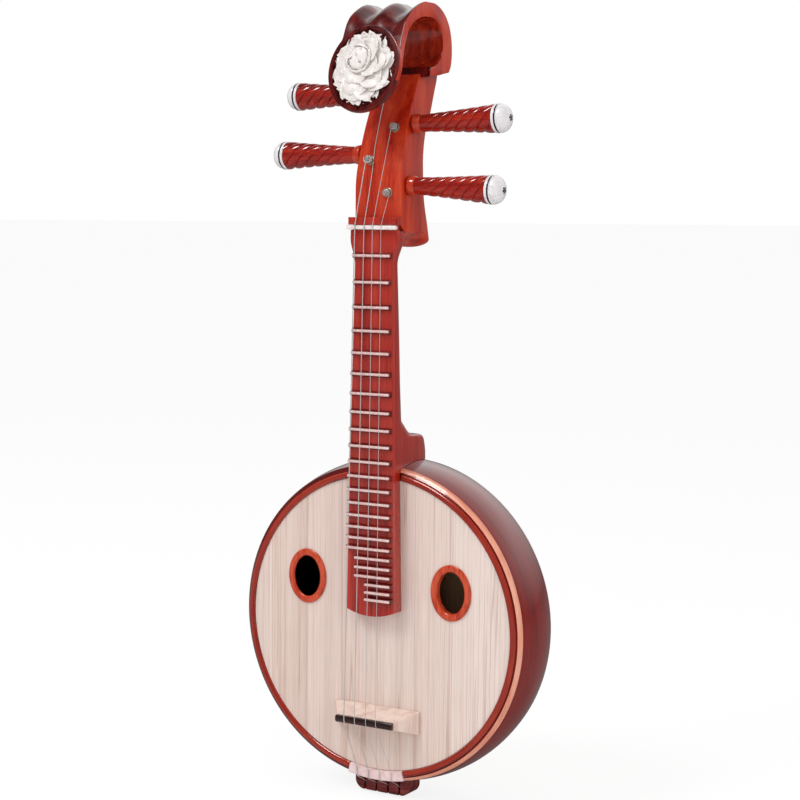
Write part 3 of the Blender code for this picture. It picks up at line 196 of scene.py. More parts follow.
wall = bmesh.new()
back_seat = BODY_DEPTH - BACK_BOARD_THICK - FIT
front_seat = BOARD_THICK + FIT
board_seat = BOARD_RADIUS + FIT
last = BODY_DEPTH - BACK_ROUND
section = [(board_seat, BEAD_SEAT), (CHAMFER_RADIUS - FIT, BEAD_SEAT), (CHAMFER_RADIUS, CHAMFER_FRONT)]
section += [(wall_radius(WALL_FRONT + (last - WALL_FRONT) * i / 24), WALL_FRONT + (last - WALL_FRONT) * i / 24)
            for i in range(25)]
section += [(wall_radius(last) - BACK_ROUND * (1 - math.cos(a)), last + BACK_ROUND * math.sin(a))
            for a in (math.pi / 10 * i for i in range(1, 6))]
section += [(BACK_BOARD_RADIUS + FIT, BODY_DEPTH), (BACK_BOARD_RADIUS + FIT, back_seat), (BACK_LEDGE, back_seat),
            (BACK_LEDGE, back_seat - LEDGE_THICK), (INNER_RADIUS, back_seat - LEDGE_THICK - LEDGE_SLOPE),
            (INNER_RADIUS, front_seat + LEDGE_THICK + LEDGE_SLOPE), (FRONT_LEDGE, front_seat + LEDGE_THICK),
            (FRONT_LEDGE, front_seat), (board_seat, front_seat)]
spun(wall, section)
for low in (-INNER_RADIUS - 0.001, INNER_RADIUS - BLOCK_THICK):
    bar(wall, (-BLOCK_HALF, back(front_seat + LEDGE_THICK / 2), low),
        (BLOCK_HALF, back(back_seat - LEDGE_THICK / 2), low + BLOCK_THICK + 0.001))
wall_lacquer = wood("lacquered_wall_wood", ((98, 12, 8), (130, 22, 16), (150, 32, 22)), along="X",
                    bands=40, stretch=30, roughness=0.22, bent=True)
finished("side_wall", wall, wall_lacquer, ["rib_ring"])


# A strip of pale wood is inlaid round the wall's front edge, over the outer part of the chamfer, and shows as a
# light line beside the bead on the right half. The left half is painted dark red: painted shade on the side away from
# the light.
STRIP_PROUD = 0.00012
STRIP_START, STRIP_END = 0.22, 0.0046
chamfer = Vector((WALL_RADIUS - CHAMFER_RADIUS, WALL_FRONT - CHAMFER_FRONT))
course = [Vector((CHAMFER_RADIUS, CHAMFER_FRONT)) + chamfer * (STRIP_START + (1 - STRIP_START) * i / 4) for i in range(4)]
course += [Vector((wall_radius(d), d)) for d in (WALL_FRONT + 0.0001 + (STRIP_END - WALL_FRONT) * i / 5 for i in range(6))]
sides = ([], [])
for i, point in enumerate(course):
    run = (course[min(i + 1, len(course) - 1)] - course[max(i - 1, 0)]).normalized()
    outward = Vector((run.y, -run.x))
    sides[0].append(point + outward * STRIP_PROUD)
    sides[1].append(point - outward * STRIP_PROUD)
strip_wood = wood("inlaid_strip_wood", ((222, 132, 102), (244, 164, 136), (252, 186, 160)), along="X",
                  bands=160, stretch=8, roughness=0.3, coat=0.5, bent=True)
# Painted shade: the same pale strip on the left half, coloured dark red because little light falls there.
strip_wood_with_painted_shade = wood("strip_wood_with_painted_shade", ((84, 16, 12), (108, 26, 22), (126, 38, 30)), along="X",
                       bands=160, stretch=8, roughness=0.24, bent=True)
for word, start, paint in (("right", 0.0, strip_wood), ("left", math.pi, strip_wood_with_painted_shade)):
    strip = bmesh.new()
    spun(strip, sides[0] + sides[1][::-1], steps=120, start=start, sweep=math.pi)
    finished(f"inlaid_strip_{word}", strip, paint)


# The soundboard is a thin disc of pale paulownia, jointed from upright staves whose edges show as
# fine grey lines. Two braces are glued across its back, and both sound holes are sawn a little wide
# for the rings that line them.
HOLE_X, HOLE_Z = 0.0717, 0.0346
HOLE_HALF_WIDTH, HOLE_HALF_HEIGHT = 0.01325, 0.0179
RING_SLEEVE = 0.0015
BRACE_HEIGHTS = (-0.006, -0.052)
BRACE_WIDE, BRACE_DEEP, BRACE_SPARE = 0.006, 0.008, 0.003
STAVE = 0.0365


def front_circle(bm, depth, wide, tall=None, x=0.0, z=0.0, count=180):
    """A circle or oval that faces the front at some depth; returns its edges."""
    place = Matrix.Translation((x, back(depth), z)) @ Matrix.Rotation(math.pi / 2, 4, 'X')
    place = place @ Matrix.Diagonal((1.0, (tall or wide) / wide, 1.0, 1.0))
    verts = bmesh.ops.create_circle(bm, segments=count, radius=wide, matrix=place)["verts"]
    return list({edge for vert in verts for edge in vert.link_edges})


def thickened(bm, thick):
    """Extrude every face straight back into a closed plate."""
    made = bmesh.ops.extrude_face_region(bm, geom=bm.faces[:])["geom"]
    bmesh.ops.translate(bm, verts=[g for g in made if isinstance(g, bmesh.types.BMVert)], vec=(0, thick, 0))


board = bmesh.new()
front_circle(board, 0.0, BOARD_RADIUS)
for side in (-1, 1):
    front_circle(board, 0.0, HOLE_HALF_WIDTH + RING_SLEEVE + FIT, HOLE_HALF_HEIGHT + RING_SLEEVE + FIT,
                 side * HOLE_X, HOLE_Z, 96)
bmesh.ops.triangle_fill(board, use_beauty=True, edges=board.edges[:])
thickened(board, BOARD_THICK)
for height in BRACE_HEIGHTS:
    inner = FRONT_LEDGE - BRACE_SPARE
    reach = math.sqrt(inner ** 2 - (abs(height) + BRACE_WIDE / 2) ** 2)
    brace = bar(board, (-reach, back(BOARD_THICK / 2), height - BRACE_WIDE / 2),
                (reach, back(BOARD_THICK + BRACE_DEEP), height + BRACE_WIDE / 2))
    low_edges = {edge for vert in brace for edge in vert.link_edges
                 if all(v.co.y > back(BOARD_THICK + 0.001) for v in edge.verts)}
    bmesh.ops.bevel(board, geom=list(low_edges), offset=0.002, segments=4, profile=0.5, affect='EDGES', material=-1)

paulownia, tree, shader, place = blank("pale_paulownia", 0.42, 0.15)
parts = node(tree, "ShaderNodeSeparateXYZ", {"Vector": place})
stave = node(tree, "ShaderNodeMath", {0: parts.outputs["X"], 1: STAVE}, operation='DIVIDE')
which = node(tree, "ShaderNodeMath", {0: stave.outputs[0]}, operation='FLOOR')
chance = node(tree, "ShaderNodeTexWhiteNoise", {"W": which.outputs[0]}, noise_dimensions='1D')
shifted = node(tree, "ShaderNodeVectorMath", {0: place, 1: chance.outputs["Color"]}, operation='ADD')
layers = []
for across, up, detail in ((60, 0.9, 2.0), (210, 1.2, 0.0), (150, 0.8, 0.0), (1500, 26, 2.0)):
    spread = node(tree, "ShaderNodeMapping", {"Vector": shifted.outputs[0], "Scale": (across, across, up)})
    layers.append(node(tree, "ShaderNodeTexNoise", {"Vector": spread.outputs[0], "Scale": 1.0,
                                                    "Detail": detail}).outputs[0])
broad = tones(tree, layers[0], (0.32, (236, 216, 206)), (0.45, (243, 225, 216)), (0.55, (247, 230, 222)),
              (0.68, (240, 220, 210)))
clear = (255, 255, 255)
thin = tones(tree, layers[1], (0.484, clear), (0.5, (206, 184, 174)), (0.512, clear))
faint = tones(tree, layers[2], (0.46, clear), (0.5, (228, 208, 198)), (0.53, clear))
fibres = tones(tree, layers[3], (0.32, (232, 222, 216)), (0.55, clear))
joint_place = node(tree, "ShaderNodeMath", {0: stave.outputs[0]}, operation='FRACT')
joint_off = node(tree, "ShaderNodeMath", {0: joint_place.outputs[0], 1: 0.5}, operation='SUBTRACT')
joint_far = node(tree, "ShaderNodeMath", {0: joint_off.outputs[0]}, operation='ABSOLUTE')
joints = tones(tree, joint_far.outputs[0], (0.486, clear), (0.497, (214, 196, 188)))
shade = tones(tree, chance.outputs["Value"], (0.0, (248, 243, 241)), (1.0, clear))
mixed = broad
for layer, amount in ((thin, 0.55), (faint, 0.5), (fibres, 0.5), (joints, 0.6), (shade, 1.0)):
    mixed = node(tree, "ShaderNodeMix", {0: amount, 6: mixed, 7: layer}, data_type='RGBA',
                 blend_type='MULTIPLY').outputs[2]
tree.links.new(mixed, shader.inputs["Base Color"])
raised = node(tree, "ShaderNodeBump", {"Height": layers[3], "Strength": 0.06, "Distance": 0.0003})
tree.links.new(raised.outputs[0], shader.inputs["Normal"])
finished("soundboard_disc", board, paulownia, ["soundboard"])


# Each sound hole is lined by a turned ring of orange-red wood: a rounded crown on the board's face
# and a thin sleeve that is glued into the hole.
RING_WIDTH, RING_PROUD = 0.0061, 0.0021


def bridged(bm, loops, closed=False):
    """Bridge loops of edges one after another, and cap both ends unless they close."""
    pairs = list(zip(loops, loops[1:] + loops[:1] if closed else loops[1:]))
    for one, other in pairs:
        bmesh.ops.bridge_loops(bm, edges=one + other)
    if not closed:
        for end in (loops[0], loops[-1]):
            bmesh.ops.contextual_create(bm, geom=end)


ring_wood = wood("orange_ring_wood", ((172, 44, 20), (206, 72, 38), (222, 92, 56)), bands=220, stretch=6,
                 roughness=0.28, coat=0.8)
for side, word in ((-1, "left"), (1, "right")):
    profile = [(0.0, BOARD_THICK), (0.0, -RING_PROUD * 0.35)]
    profile += [(RING_WIDTH / 2 * (1 - math.cos(a)), -RING_PROUD * (0.35 + 0.65 * math.sin(a)))
                for a in (math.pi * i / 12 for i in range(1, 12))]
    profile += [(RING_WIDTH, -RING_PROUD * 0.3), (RING_WIDTH, -FIT), (RING_SLEEVE, -FIT), (RING_SLEEVE, BOARD_THICK)]
    ring = bmesh.new()
    bridged(ring, [front_circle(ring, depth, HOLE_HALF_WIDTH + out, HOLE_HALF_HEIGHT + out,
                                side * HOLE_X, HOLE_Z, 96) for out, depth in profile], closed=True)
    finished(f"sound_ring_{word}", ring, ring_wood, [f"soundhole_ring_{word}"], sharp=50)


# Two half-round beads of dark red wood cover the joint of soundboard and wall. They are bent from
# thin rods, open where the neck crosses the rim and where the tail saddle sits.
BEAD_PROUD = 0.0022
BEAD_SHOULDER = -0.0002
TAIL_SADDLE_HALF = 0.0265
NECK_HALF_AT_RIM = 0.0225
middle = board_seat + BEAD_WIDTH / 2
profile = [(board_seat, BEAD_SEAT - FIT), (board_seat, BEAD_SHOULDER)]
profile += [(board_seat + BEAD_WIDTH / 2 * (1 - math.cos(a)),
             BEAD_SHOULDER - (BEAD_PROUD + BEAD_SHOULDER) * math.sin(a)) for a in (math.pi * i / 14 for i in range(1, 14))]
profile += [(board_seat + BEAD_WIDTH, BEAD_SHOULDER), (board_seat + BEAD_WIDTH, BEAD_SEAT - FIT)]
bead_top = math.asin(NECK_HALF_AT_RIM / board_seat)
bead_bottom = math.pi - math.asin((TAIL_SADDLE_HALF + FIT) / middle) - FIT / middle
bead_wood = wood("bead_wood", ((118, 20, 10), (156, 38, 20), (186, 58, 34)), along="X", bands=60, stretch=20,
                 roughness=0.22, bent=True)
for word, start in (("right", bead_top), ("left", -bead_bottom)):
    bead = bmesh.new()
    spun(bead, profile, steps=130, start=start, sweep=bead_bottom - bead_top)
    rims = {edge for face in bead.faces if len(face.verts) == len(profile) for edge in face.edges}
    bmesh.ops.bevel(bead, geom=list(rims), offset=0.0004, segments=3, profile=0.5, affect='EDGES', material=-1)
    finished(f"bead_{word}", bead, bead_wood, [f"rim_bead_{word}"])


# The back board closes the body: a plain disc of light wood in the wall's rebate, sanded smooth,
# eased at its edge and finished with satin lacquer.
BACK_EASE = 0.0006
back_plate = bmesh.new()
edges = front_circle(back_plate, BODY_DEPTH - BACK_BOARD_THICK, BACK_BOARD_RADIUS)
bmesh.ops.contextual_create(back_plate, geom=edges)
thickened(back_plate, BACK_BOARD_THICK)
outer_edges = [edge for edge in back_plate.edges if all(v.co.y > -1e-5 for v in edge.verts)]
bmesh.ops.bevel(back_plate, geom=outer_edges, offset=BACK_EASE, segments=3, profile=0.5, affect='EDGES', material=-1)
back_wood = wood("back_board_wood", ((196, 150, 112), (214, 172, 132), (226, 188, 150)), bands=70, fibres=800,
                 roughness=0.34, coat=0.5)
finished("back_plate", back_plate, back_wood, ["back_board"])


# The neck is one piece with its heel and its tongue: a D in section, flared under the nut and
# squared at the heel, sawn off on a slant at the top where the head is glued on. Red lacquer, with
# the grain running up it.
NUT_Z = 0.339
NUT_THICK = 0.0035
BOARD_END_Z = 0.0090
FRONT_AT_END, FRONT_SLOPE, FINGERBOARD_THICK = -0.0136, 0.0073, 0.0051
HALF_AT_NUT, HALF_TAPER = 0.0174, 0.0187
FLARE, FLARE_START, FLARE_END = 0.0051, 0.031, 0.009
END_ARC = 0.060
THROAT_BACK = (
    (-0.003, 0.0165), (-0.008, 0.0158), (-0.013, 0.0130), (-0.018, 0.0088), (-0.024, 0.0056),
    (-0.031, 0.0043), (-0.041, 0.0056),
)
RUN_BACK = ((0.164, 0.0083), (0.327, 0.0100), (0.564, 0.0120), (0.800, 0.0135))
HEEL_BACK = (
    (0.0511, 0.0158), (0.0391, 0.0172), (0.0311, 0.0200), (0.0266, 0.0260), (0.0251, 0.0345),
    (0.0243, 0.0440), (0.0228, 0.0485), (0.0201, 0.0512), (0.0161, 0.0528), (-0.0169, 0.0530),
)
TONGUE_FOOT_Z = 0.002
NECK_SIDE = 0.004
HEEL_START, HEEL_EASE = 0.0381, 0.012
SCARF_DEPTH, SCARF_HEIGHT, SCARF_SLOPE = -0.012, 0.009, 0.92
NECK_TOP_BACK = -0.0019


def flowing(points, steps):
    """A smooth run through some points, with this many steps from each to the next."""
    points = [Vector(point) for point in points]
    gaps = [(b - a).length for a, b in zip(points, points[1:])]
    slopes = [(b - a) / gap for a, b, gap in zip(points, points[1:], gaps)]
    inner = [(s0 * g1 + s1 * g0) / (g0 + g1) for s0, s1, g0, g1 in zip(slopes, slopes[1:], gaps, gaps[1:])]
    tangents = [slopes[0], *inner, slopes[-1]]
    run = []
    for a, b, gap, m0, m1 in zip(points, points[1:], gaps, tangents, tangents[1:]):
        for t in (i / steps for i in range(steps)):
            run.append(a * (1 + 2 * t) * (1 - t) ** 2 + b * t * t * (3 - 2 * t)
                       + (m0 * t * (1 - t) ** 2 - m1 * t * t * (1 - t)) * gap)
    return run + [points[-1]]


def half_width(z):
    """Half-width of the fingerboard and the neck under it, with the flare below the nut."""
    share = min(max((z - NUT_Z + FLARE_START) / (FLARE_START - FLARE_END), 0.0), 1.0)
    return HALF_AT_NUT + (NUT_Z - z) * HALF_TAPER + FLARE * share * share * (3 - 2 * share)


def board_front(z):
    """Depth of the fingerboard's face."""
    return FRONT_AT_END + (z - BOARD_END_Z) * FRONT_SLOPE


def end_arc(x):
    """Height of the rounded lower end of the fingerboard and the tongue."""
    return BOARD_END_Z + END_ARC - math.sqrt(END_ARC ** 2 - x ** 2)


def loop(bm, points):
    """A closed loop of edges through some points."""
    verts = [bm.verts.new(point) for point in points]
    return [bm.edges.new(pair) for pair in zip(verts, verts[1:] + verts[:1])]


def skinned(bm, rings):
    """Skin closed loops of points one after another and cap both ends."""
    bridged(bm, [loop(bm, ring) for ring in rings])


def carved(stock, tools, operation='DIFFERENCE'):
    """Cut closed tools out of a piece, or join them to it, and return the new piece."""
    made = []
    for each in (stock, *tools):
        bmesh.ops.remove_doubles(each, verts=each.verts, dist=1e-6)
        bmesh.ops.recalc_face_normals(each, faces=each.faces)
        mesh = bpy.data.meshes.new("blank")
        each.to_mesh(mesh)
        each.free()
        made.append(bpy.data.objects.new("blank", mesh))
        bpy.context.collection.objects.link(made[-1])
    for number, tool in enumerate(made[1:]):
        cut = made[0].modifiers.new(f"cut_{number}", 'BOOLEAN')
        cut.operation, cut.solver, cut.object = operation, 'EXACT', tool
    result = bmesh.new()
    result.from_object(made[0], bpy.context.evaluated_depsgraph_get())
    for each in made:
        bpy.data.meshes.remove(each.data)
    return result


def side_prism(outline, low, high):
    """A closed tool from a (depth, z) outline, between two places across the instrument."""
    made = bmesh.new()
    skinned(made, [[(x, back(d), z) for d, z in outline] for x in (low, high)])
    return made


rows = [(NUT_Z + up, depth) for up, depth in THROAT_BACK]
heel_top = WALL_RADIUS + HEEL_BACK[0][0]
rows += [(rows[-1][0] + (heel_top - rows[-1][0]) * share, depth) for share, depth in RUN_BACK]
rows += [(WALL_RADIUS + out, depth) for out, depth in HEEL_BACK]
rows = [tuple(row) for row in flowing(rows, 5)] + [(TONGUE_FOOT_Z, HEEL_BACK[-1][1])]
rings = []
for z, deepest in rows:
    front = board_front(z) + FINGERBOARD_THICK + FIT
    half = half_width(z)
    side = front + NECK_SIDE
    heel = min(max((WALL_RADIUS + HEEL_START - z) / HEEL_EASE, 0.0), 1.0)
    power = 2 / (2.0 + 3.0 * heel)
    ring = [(-half, back(front), z), (-half, back(side), z)]
    for angle in (math.pi * i / 24 for i in range(1, 24)):
        across = abs(math.cos(angle)) ** power * math.copysign(1, math.cos(angle))
        ring.append((-half * across, back(side + (deepest - side) * math.sin(angle) ** power), z))
    rings.append(ring + [(half, back(side), z), (half, back(front), z)])
neck = bmesh.new()
skinned(neck, rings)
body_form = bmesh.new()
depths = [WALL_FRONT + (BODY_DEPTH + 0.003 - WALL_FRONT) * i / 16 for i in range(17)]
bridged(body_form, [front_circle(body_form, -FIT, CHAMFER_RADIUS - FIT)]
        + [front_circle(body_form, d, wall_radius(d) + FIT) for d in depths])
low = TONGUE_FOOT_Z - 0.01
arc_xs = [0.03 - 0.06 * i / 24 for i in range(25)]
tongue_end = bmesh.new()
skinned(tongue_end, [[(x, back(d), z) for x, z in [(-0.03, low), (0.03, low)] + [(x, end_arc(x)) for x in arc_xs]]
                     for d in (-0.03, 0.06)])
top = NUT_Z + NUT_THICK / 2 - 2 * FIT
notch = side_prism([(-0.04, top), (NECK_TOP_BACK, top), (NECK_TOP_BACK, top + 0.03), (-0.04, top + 0.03)], -0.05, 0.05)
neck = carved(neck, [body_form, tongue_end, notch])
slide = FIT / 2 * math.sqrt(1 + SCARF_SLOPE ** 2)
cut = bmesh.ops.bisect_plane(neck, geom=neck.verts[:] + neck.edges[:] + neck.faces[:],
                             plane_co=(0, back(SCARF_DEPTH), NUT_Z + SCARF_HEIGHT - slide),
                             plane_no=(0, SCARF_SLOPE, 1), clear_outer=True)
bmesh.ops.holes_fill(neck, edges=[edge for edge in neck.edges if edge.is_boundary])
neck_wood = wood("neck_wood", ((146, 26, 16), (176, 40, 26), (194, 56, 38)), bands=70, fibres=900, roughness=0.26)
finished("neck_with_heel", neck, neck_wood, ["neck"])


# The fingerboard is a slightly sloped plate of darker red wood with a rounded lower end. A block on
# its top end holds the nut, a strip of pale bone that stands in its own slot.
NUT_HALF, NUT_FRONT, NUT_SLOT_FLOOR = 0.0241, -0.0158, 0.0022
NUT_LIP, NUT_FOOT_HALF = 0.0026, 0.0222
NUT_BLOCK_HALF, NUT_BLOCK_THICK, NUT_BLOCK_FRONT = 0.024, 0.0067, -0.0132
FACE_DEPTH = -0.0039
EDGE_EASE = 0.0005

low_nut, high_nut = NUT_Z - NUT_THICK / 2, NUT_Z + NUT_THICK / 2
heights = [end_arc(half_width(BOARD_END_Z)) + 0.001, NUT_Z - FLARE_START]
heights += [NUT_Z - FLARE_START + (FLARE_START - FLARE_END) * i / 16 for i in range(1, 17)] + [low_nut - FIT]
right = [(half_width(z), z) for z in heights]
widest = half_width(BOARD_END_Z)
arc = [(widest - 2 * widest * i / 32, end_arc(widest - 2 * widest * i / 32)) for i in range(33)]
plate = bmesh.new()
outline = [(-x, z) for x, z in right] + [(x, z) for x, z in reversed(right)] + arc
bmesh.ops.contextual_create(plate, geom=loop(plate, [(x, 0.0, z) for x, z in outline]))
bmesh.ops.recalc_face_normals(plate, faces=plate.faces)
thickened(plate, FINGERBOARD_THICK)
lean = Matrix(((1, 0, 0, 0), (0, 1, FRONT_SLOPE, back(FRONT_AT_END) - BOARD_END_Z * FRONT_SLOPE),
               (0, 0, 1, 0), (0, 0, 0, 1)))
bmesh.ops.transform(plate, matrix=lean, verts=plate.verts)
rims = [edge for edge in plate.edges if all(abs(v.co.y - back(board_front(v.co.z))) < 1e-5 for v in edge.verts)]
bmesh.ops.bevel(plate, geom=rims, offset=EDGE_EASE, segments=3, profile=0.5, affect='EDGES', material=-1)
floor_depth = board_front(NUT_Z) + FINGERBOARD_THICK - NUT_SLOT_FLOOR
foot = NUT_BLOCK_HALF - 0.002
bar(plate, (-foot, back(floor_depth + FIT), low_nut - 0.001),
    (foot, back(floor_depth + NUT_SLOT_FLOOR - FIT / 2), high_nut + 0.002))
head_block = bar(plate, (-NUT_BLOCK_HALF, back(NUT_BLOCK_FRONT), high_nut + FIT),
                 (NUT_BLOCK_HALF, back(FACE_DEPTH - FIT), high_nut + NUT_BLOCK_THICK))
block_rims = {edge for vert in head_block for edge in vert.link_edges
              if all(v.co.y < back(NUT_BLOCK_FRONT) + 1e-5 for v in edge.verts)}
bmesh.ops.bevel(plate, geom=list(block_rims), offset=0.001, segments=4, profile=0.5, affect='EDGES', material=-1)
board_wood = wood("fingerboard_wood", ((142, 26, 16), (178, 42, 28), (198, 58, 42)), bands=90, fibres=1000,
                  stretch=18, roughness=0.28, coat=0.8)
finished("fingerboard_plate", plate, board_wood, ["fingerboard"])


def mottled(name, colours, size=300, roughness=0.32, coat=0.3, subsurface=0.0):
    """Pale bone or plastic: cloudy, with faint specks."""
    made, tree, shader, place = blank(name, roughness, coat)
    cloud = node(tree, "ShaderNodeTexNoise", {"Vector": place, "Scale": size, "Detail": 4.0}).outputs[0]
    tree.links.new(tones(tree, cloud, *zip((0.3, 0.5, 0.7), colours)), shader.inputs["Base Color"])
    raised = node(tree, "ShaderNodeBump", {"Height": cloud, "Strength": 0.05, "Distance": 0.0003})
    tree.links.new(raised.outputs[0], shader.inputs["Normal"])
    return made


nut = bmesh.new()
bar(nut, (-NUT_HALF, back(NUT_FRONT), low_nut), (NUT_HALF, back(NUT_FRONT + NUT_LIP), high_nut))
bar(nut, (-NUT_FOOT_HALF, back(NUT_FRONT + NUT_LIP - 0.001), low_nut), (NUT_FOOT_HALF, back(floor_depth - FIT), high_nut))
bmesh.ops.bevel(nut, geom=nut.edges[:], offset=0.0007, segments=3, profile=0.5, affect='EDGES', material=-1)
nut_bone = mottled("nut_bone", ((236, 214, 210), (248, 234, 232), (252, 244, 244)))
finished("bone_nut", nut, nut_bone, ["nut"])


# Twenty-four tall frets are glued across the fingerboard: wedges of dark red wood, each with a
# rounded strip of pinkish bone along its top. The highest ones are short and keep to the right.
SCALE_LENGTH = 0.420
FRET_BASE, FRET_TOP = 0.005, 0.0027
CROWN_AT_NUT, CROWN_SLOPE, CROWN_DEEP, CROWN_HALF = -0.0150, 0.0119, 0.0016, 0.0011
LEFT_ENDS = {19: -0.0134, 20: -0.0134, 21: -0.0134, 22: -0.0031, 23: -0.0031, 24: -0.0031}
fret_wood = wood("fret_wood", ((84, 12, 12), (112, 20, 16), (134, 30, 22)), along="X", bands=120, stretch=12,
                 roughness=0.3, coat=0.6)
fret_bone = mottled("fret_bone", ((224, 178, 174), (238, 204, 200), (246, 222, 218)), size=500)
for number in range(1, 25):
    z = NUT_Z - SCALE_LENGTH * (1 - 2 ** (-number / 12))
    right_end = half_width(z)
    left_end = LEFT_ENDS.get(number, -right_end)
    crown = CROWN_AT_NUT - (NUT_Z - z) * CROWN_SLOPE
    fret = bmesh.new()
    base, tip = FRET_BASE / 2, FRET_TOP / 2
    skinned(fret, [[(x, back(d), z + up) for d, up in (
        (board_front(z - base) - FIT / 2, -base), (crown + CROWN_DEEP, -tip),
        (crown + CROWN_DEEP, tip), (board_front(z + base) - FIT / 2, base))] for x in (left_end, right_end)])
    upper = [edge for edge in fret.edges if all(v.co.y < back(crown + CROWN_DEEP) + 1e-5 for v in edge.verts)]
    bmesh.ops.bevel(fret, geom=upper, offset=0.0003, segments=2, profile=0.5, affect='EDGES', material=-1)
    wedge = set(fret.faces)
    bead = bar(fret, (left_end, back(crown), z - CROWN_HALF), (right_end - 0.0013, back(crown + CROWN_DEEP + 0.0002), z + CROWN_HALF))
    rounded = {edge for vert in bead for edge in vert.link_edges
               if any(v.co.y < back(crown) + 1e-5 for v in edge.verts)}
    bmesh.ops.bevel(fret, geom=list(rounded), offset=0.00095, segments=4, profile=0.5, affect='EDGES', material=-1)
    for face in fret.faces:
        face.material_index = 0 if face in wedge else 1
    finished(f"tall_fret_{number:02d}", fret, (fret_wood, fret_bone), [f"fret_{number:02d}"], sharp=40)


# The head is carved from one block: a flat-faced stem that bends back, the chin behind the nut, and
# a broad scroll with a wavy top, which is bored through from side to side. Its arm comes down in
# front and flares to carry the rosette disc.
FACE_BEND, FACE_RADIUS, FACE_STRAIGHT = 0.026, 0.1436, 0.0965
STEM_BACK = (
    (-0.0210, 0.0470, 0.0228), (0.0010, 0.0415, 0.0228), (0.0260, 0.0349, 0.0228),
    (0.0410, 0.0338, 0.0228), (0.0610, 0.0355, 0.0216), (0.0710, 0.0375, 0.0212),
    (0.0820, 0.0410, 0.0208), (0.0965, 0.0488, 0.0204), (0.1120, 0.0548, 0.0202),
    (0.1250, 0.0600, 0.0200),
)
STEM_TOP = (0.0315, 0.1295, 0.0615, 0.1320)
CHIN_SIDE = (
    (-0.006, -0.0028), (0.002, -0.0034), (0.010, -0.0038), (0.019, -0.0044), (0.028, -0.0038),
    (0.036, -0.0050), (0.042, -0.0080), (0.050, -0.0105),
)
CHIN_TONGUE = (0.0145, 0.0135, 0.0110, 0.0076, 0.0067, 0.0047, 0.0015, 0.0)
CHIN_LIP, LIP_START, LIP_END = 0.0072, 0.030, 0.043
SCROLL_HALF, SCROLL_WAVE, SCROLL_EDGE = 0.029, 0.0062, 0.0007
SCROLL_OUTER = (
    (0.0638, 0.1316, 0.0), (0.0667, 0.1360, 0.1), (0.0684, 0.1426, 0.3), (0.0688, 0.1510, 0.6),
    (0.0678, 0.1600, 0.9), (0.0650, 0.1685, 1.0), (0.0603, 0.1758, 1.0), (0.0535, 0.1818, 1.0),
    (0.0445, 0.1862, 1.0), (0.0350, 0.1882, 1.0), (0.0255, 0.1882, 1.0), (0.0165, 0.1862, 1.0),
    (0.0085, 0.1828, 1.0), (0.0015, 0.1790, 0.9), (-0.0045, 0.1745, 0.7), (-0.0090, 0.1690, 0.45),
    (-0.0122, 0.1630, 0.2), (-0.0148, 0.1570, 0.0),
)
ARM_TIP = ((-0.0120, 0.1520), (-0.0100, 0.1520))
ARM_INNER = ((-0.0062, 0.1590), (0.0000, 0.1658), (0.0075, 0.1708), (0.0155, 0.1738), (0.0225, 0.1752))
BORE_DEPTH, BORE_HEIGHT, BORE_RADIUS = 0.0325, 0.155, 0.0205
THROAT = ((0.0312, 0.1310), (0.0303, 0.1262), (0.0460, 0.1282))
ARM_FLARE = (
    (0.1665, -0.0088, -0.0012, 0.0284), (0.1580, -0.0142, -0.0062, 0.0290),
    (0.1535, -0.0168, -0.0088, 0.0294), (0.1480, -0.0196, -0.0120, 0.0301),
    (0.1420, -0.0213, -0.0158, 0.0313), (0.1360, -0.0229, -0.0194, 0.0326),
    (0.1300, -0.0244, -0.0218, 0.0330), (0.1220, -0.0266, -0.0250, 0.0318),
)
DISC_RADIUS, DISC_OVAL, DISC_THICK, DISC_RIM, DISC_RECESS = 0.0341, 1.085, 0.0058, 0.0040, 0.0032
DISC_DEPTH, DISC_HEIGHT, DISC_LEAN = -0.0284, 0.1305, math.radians(15)

# side, height above the nut, depth of the worm wheel behind the face, tilt of the peg
TUNERS = ((1, 0.029, 0.0125, math.radians(-2.5)), (-1, 0.056, 0.0098, 0.0),
          (1, 0.083, 0.0088, math.radians(2.5)), (-1, 0.110, 0.0088, 0.0))
POST_X, POST_RADIUS, POST_PROUD, POST_TAIL = 0.00975, 0.00215, 0.0068, 0.0030
WHEEL_RADIUS, TOOTH, WHEEL_HALF, WHEEL_TEETH = 0.0046, 0.00125, 0.0018, 12
WORM_RADIUS, THREAD = 0.0024, 0.0012
SHAFT_RADIUS, SHAFT_TAIL = 0.0015, 0.0035


def face_slope(height):
    """How fast the head's face leans back at a height above the nut."""
    return (min(max(height, FACE_BEND), FACE_STRAIGHT) - FACE_BEND) / FACE_RADIUS


def face_depth(height):
    """Depth of the head's face: flat above the nut, then an arc, then straight."""
    bend = min(max(height, FACE_BEND), FACE_STRAIGHT) - FACE_BEND
    return FACE_DEPTH + bend ** 2 / (2 * FACE_RADIUS) + max(height - FACE_STRAIGHT, 0.0) * face_slope(height)


def hoop(bm, place, along, radius, taller=1.0, count=64):
    """A circle round a frame's X axis, at a place along it; returns its edges."""
    turn = place @ Matrix.Translation((along, 0, 0)) @ Matrix.Rotation(math.pi / 2, 4, 'Y')
    verts = bmesh.ops.create_circle(bm, segments=count, radius=radius,
                                    matrix=turn @ Matrix.Diagonal((taller, 1.0, 1.0, 1.0)))["verts"]
    return list({edge for vert in verts for edge in vert.link_edges})


def lathed(bm, place, profile, taller=1.0, count=64):
    """Turn (along, radius) pairs round a frame's X axis, closed at both ends."""
    bridged(bm, [hoop(bm, place, along, radius, taller, count) for along, radius in profile])


def framed(x_axis, y_axis, origin):
    """A frame from its X and Y axes and its origin."""
    made = Matrix((x_axis, y_axis, x_axis.cross(y_axis))).transposed().to_4x4()
    made.translation = origin
    return made


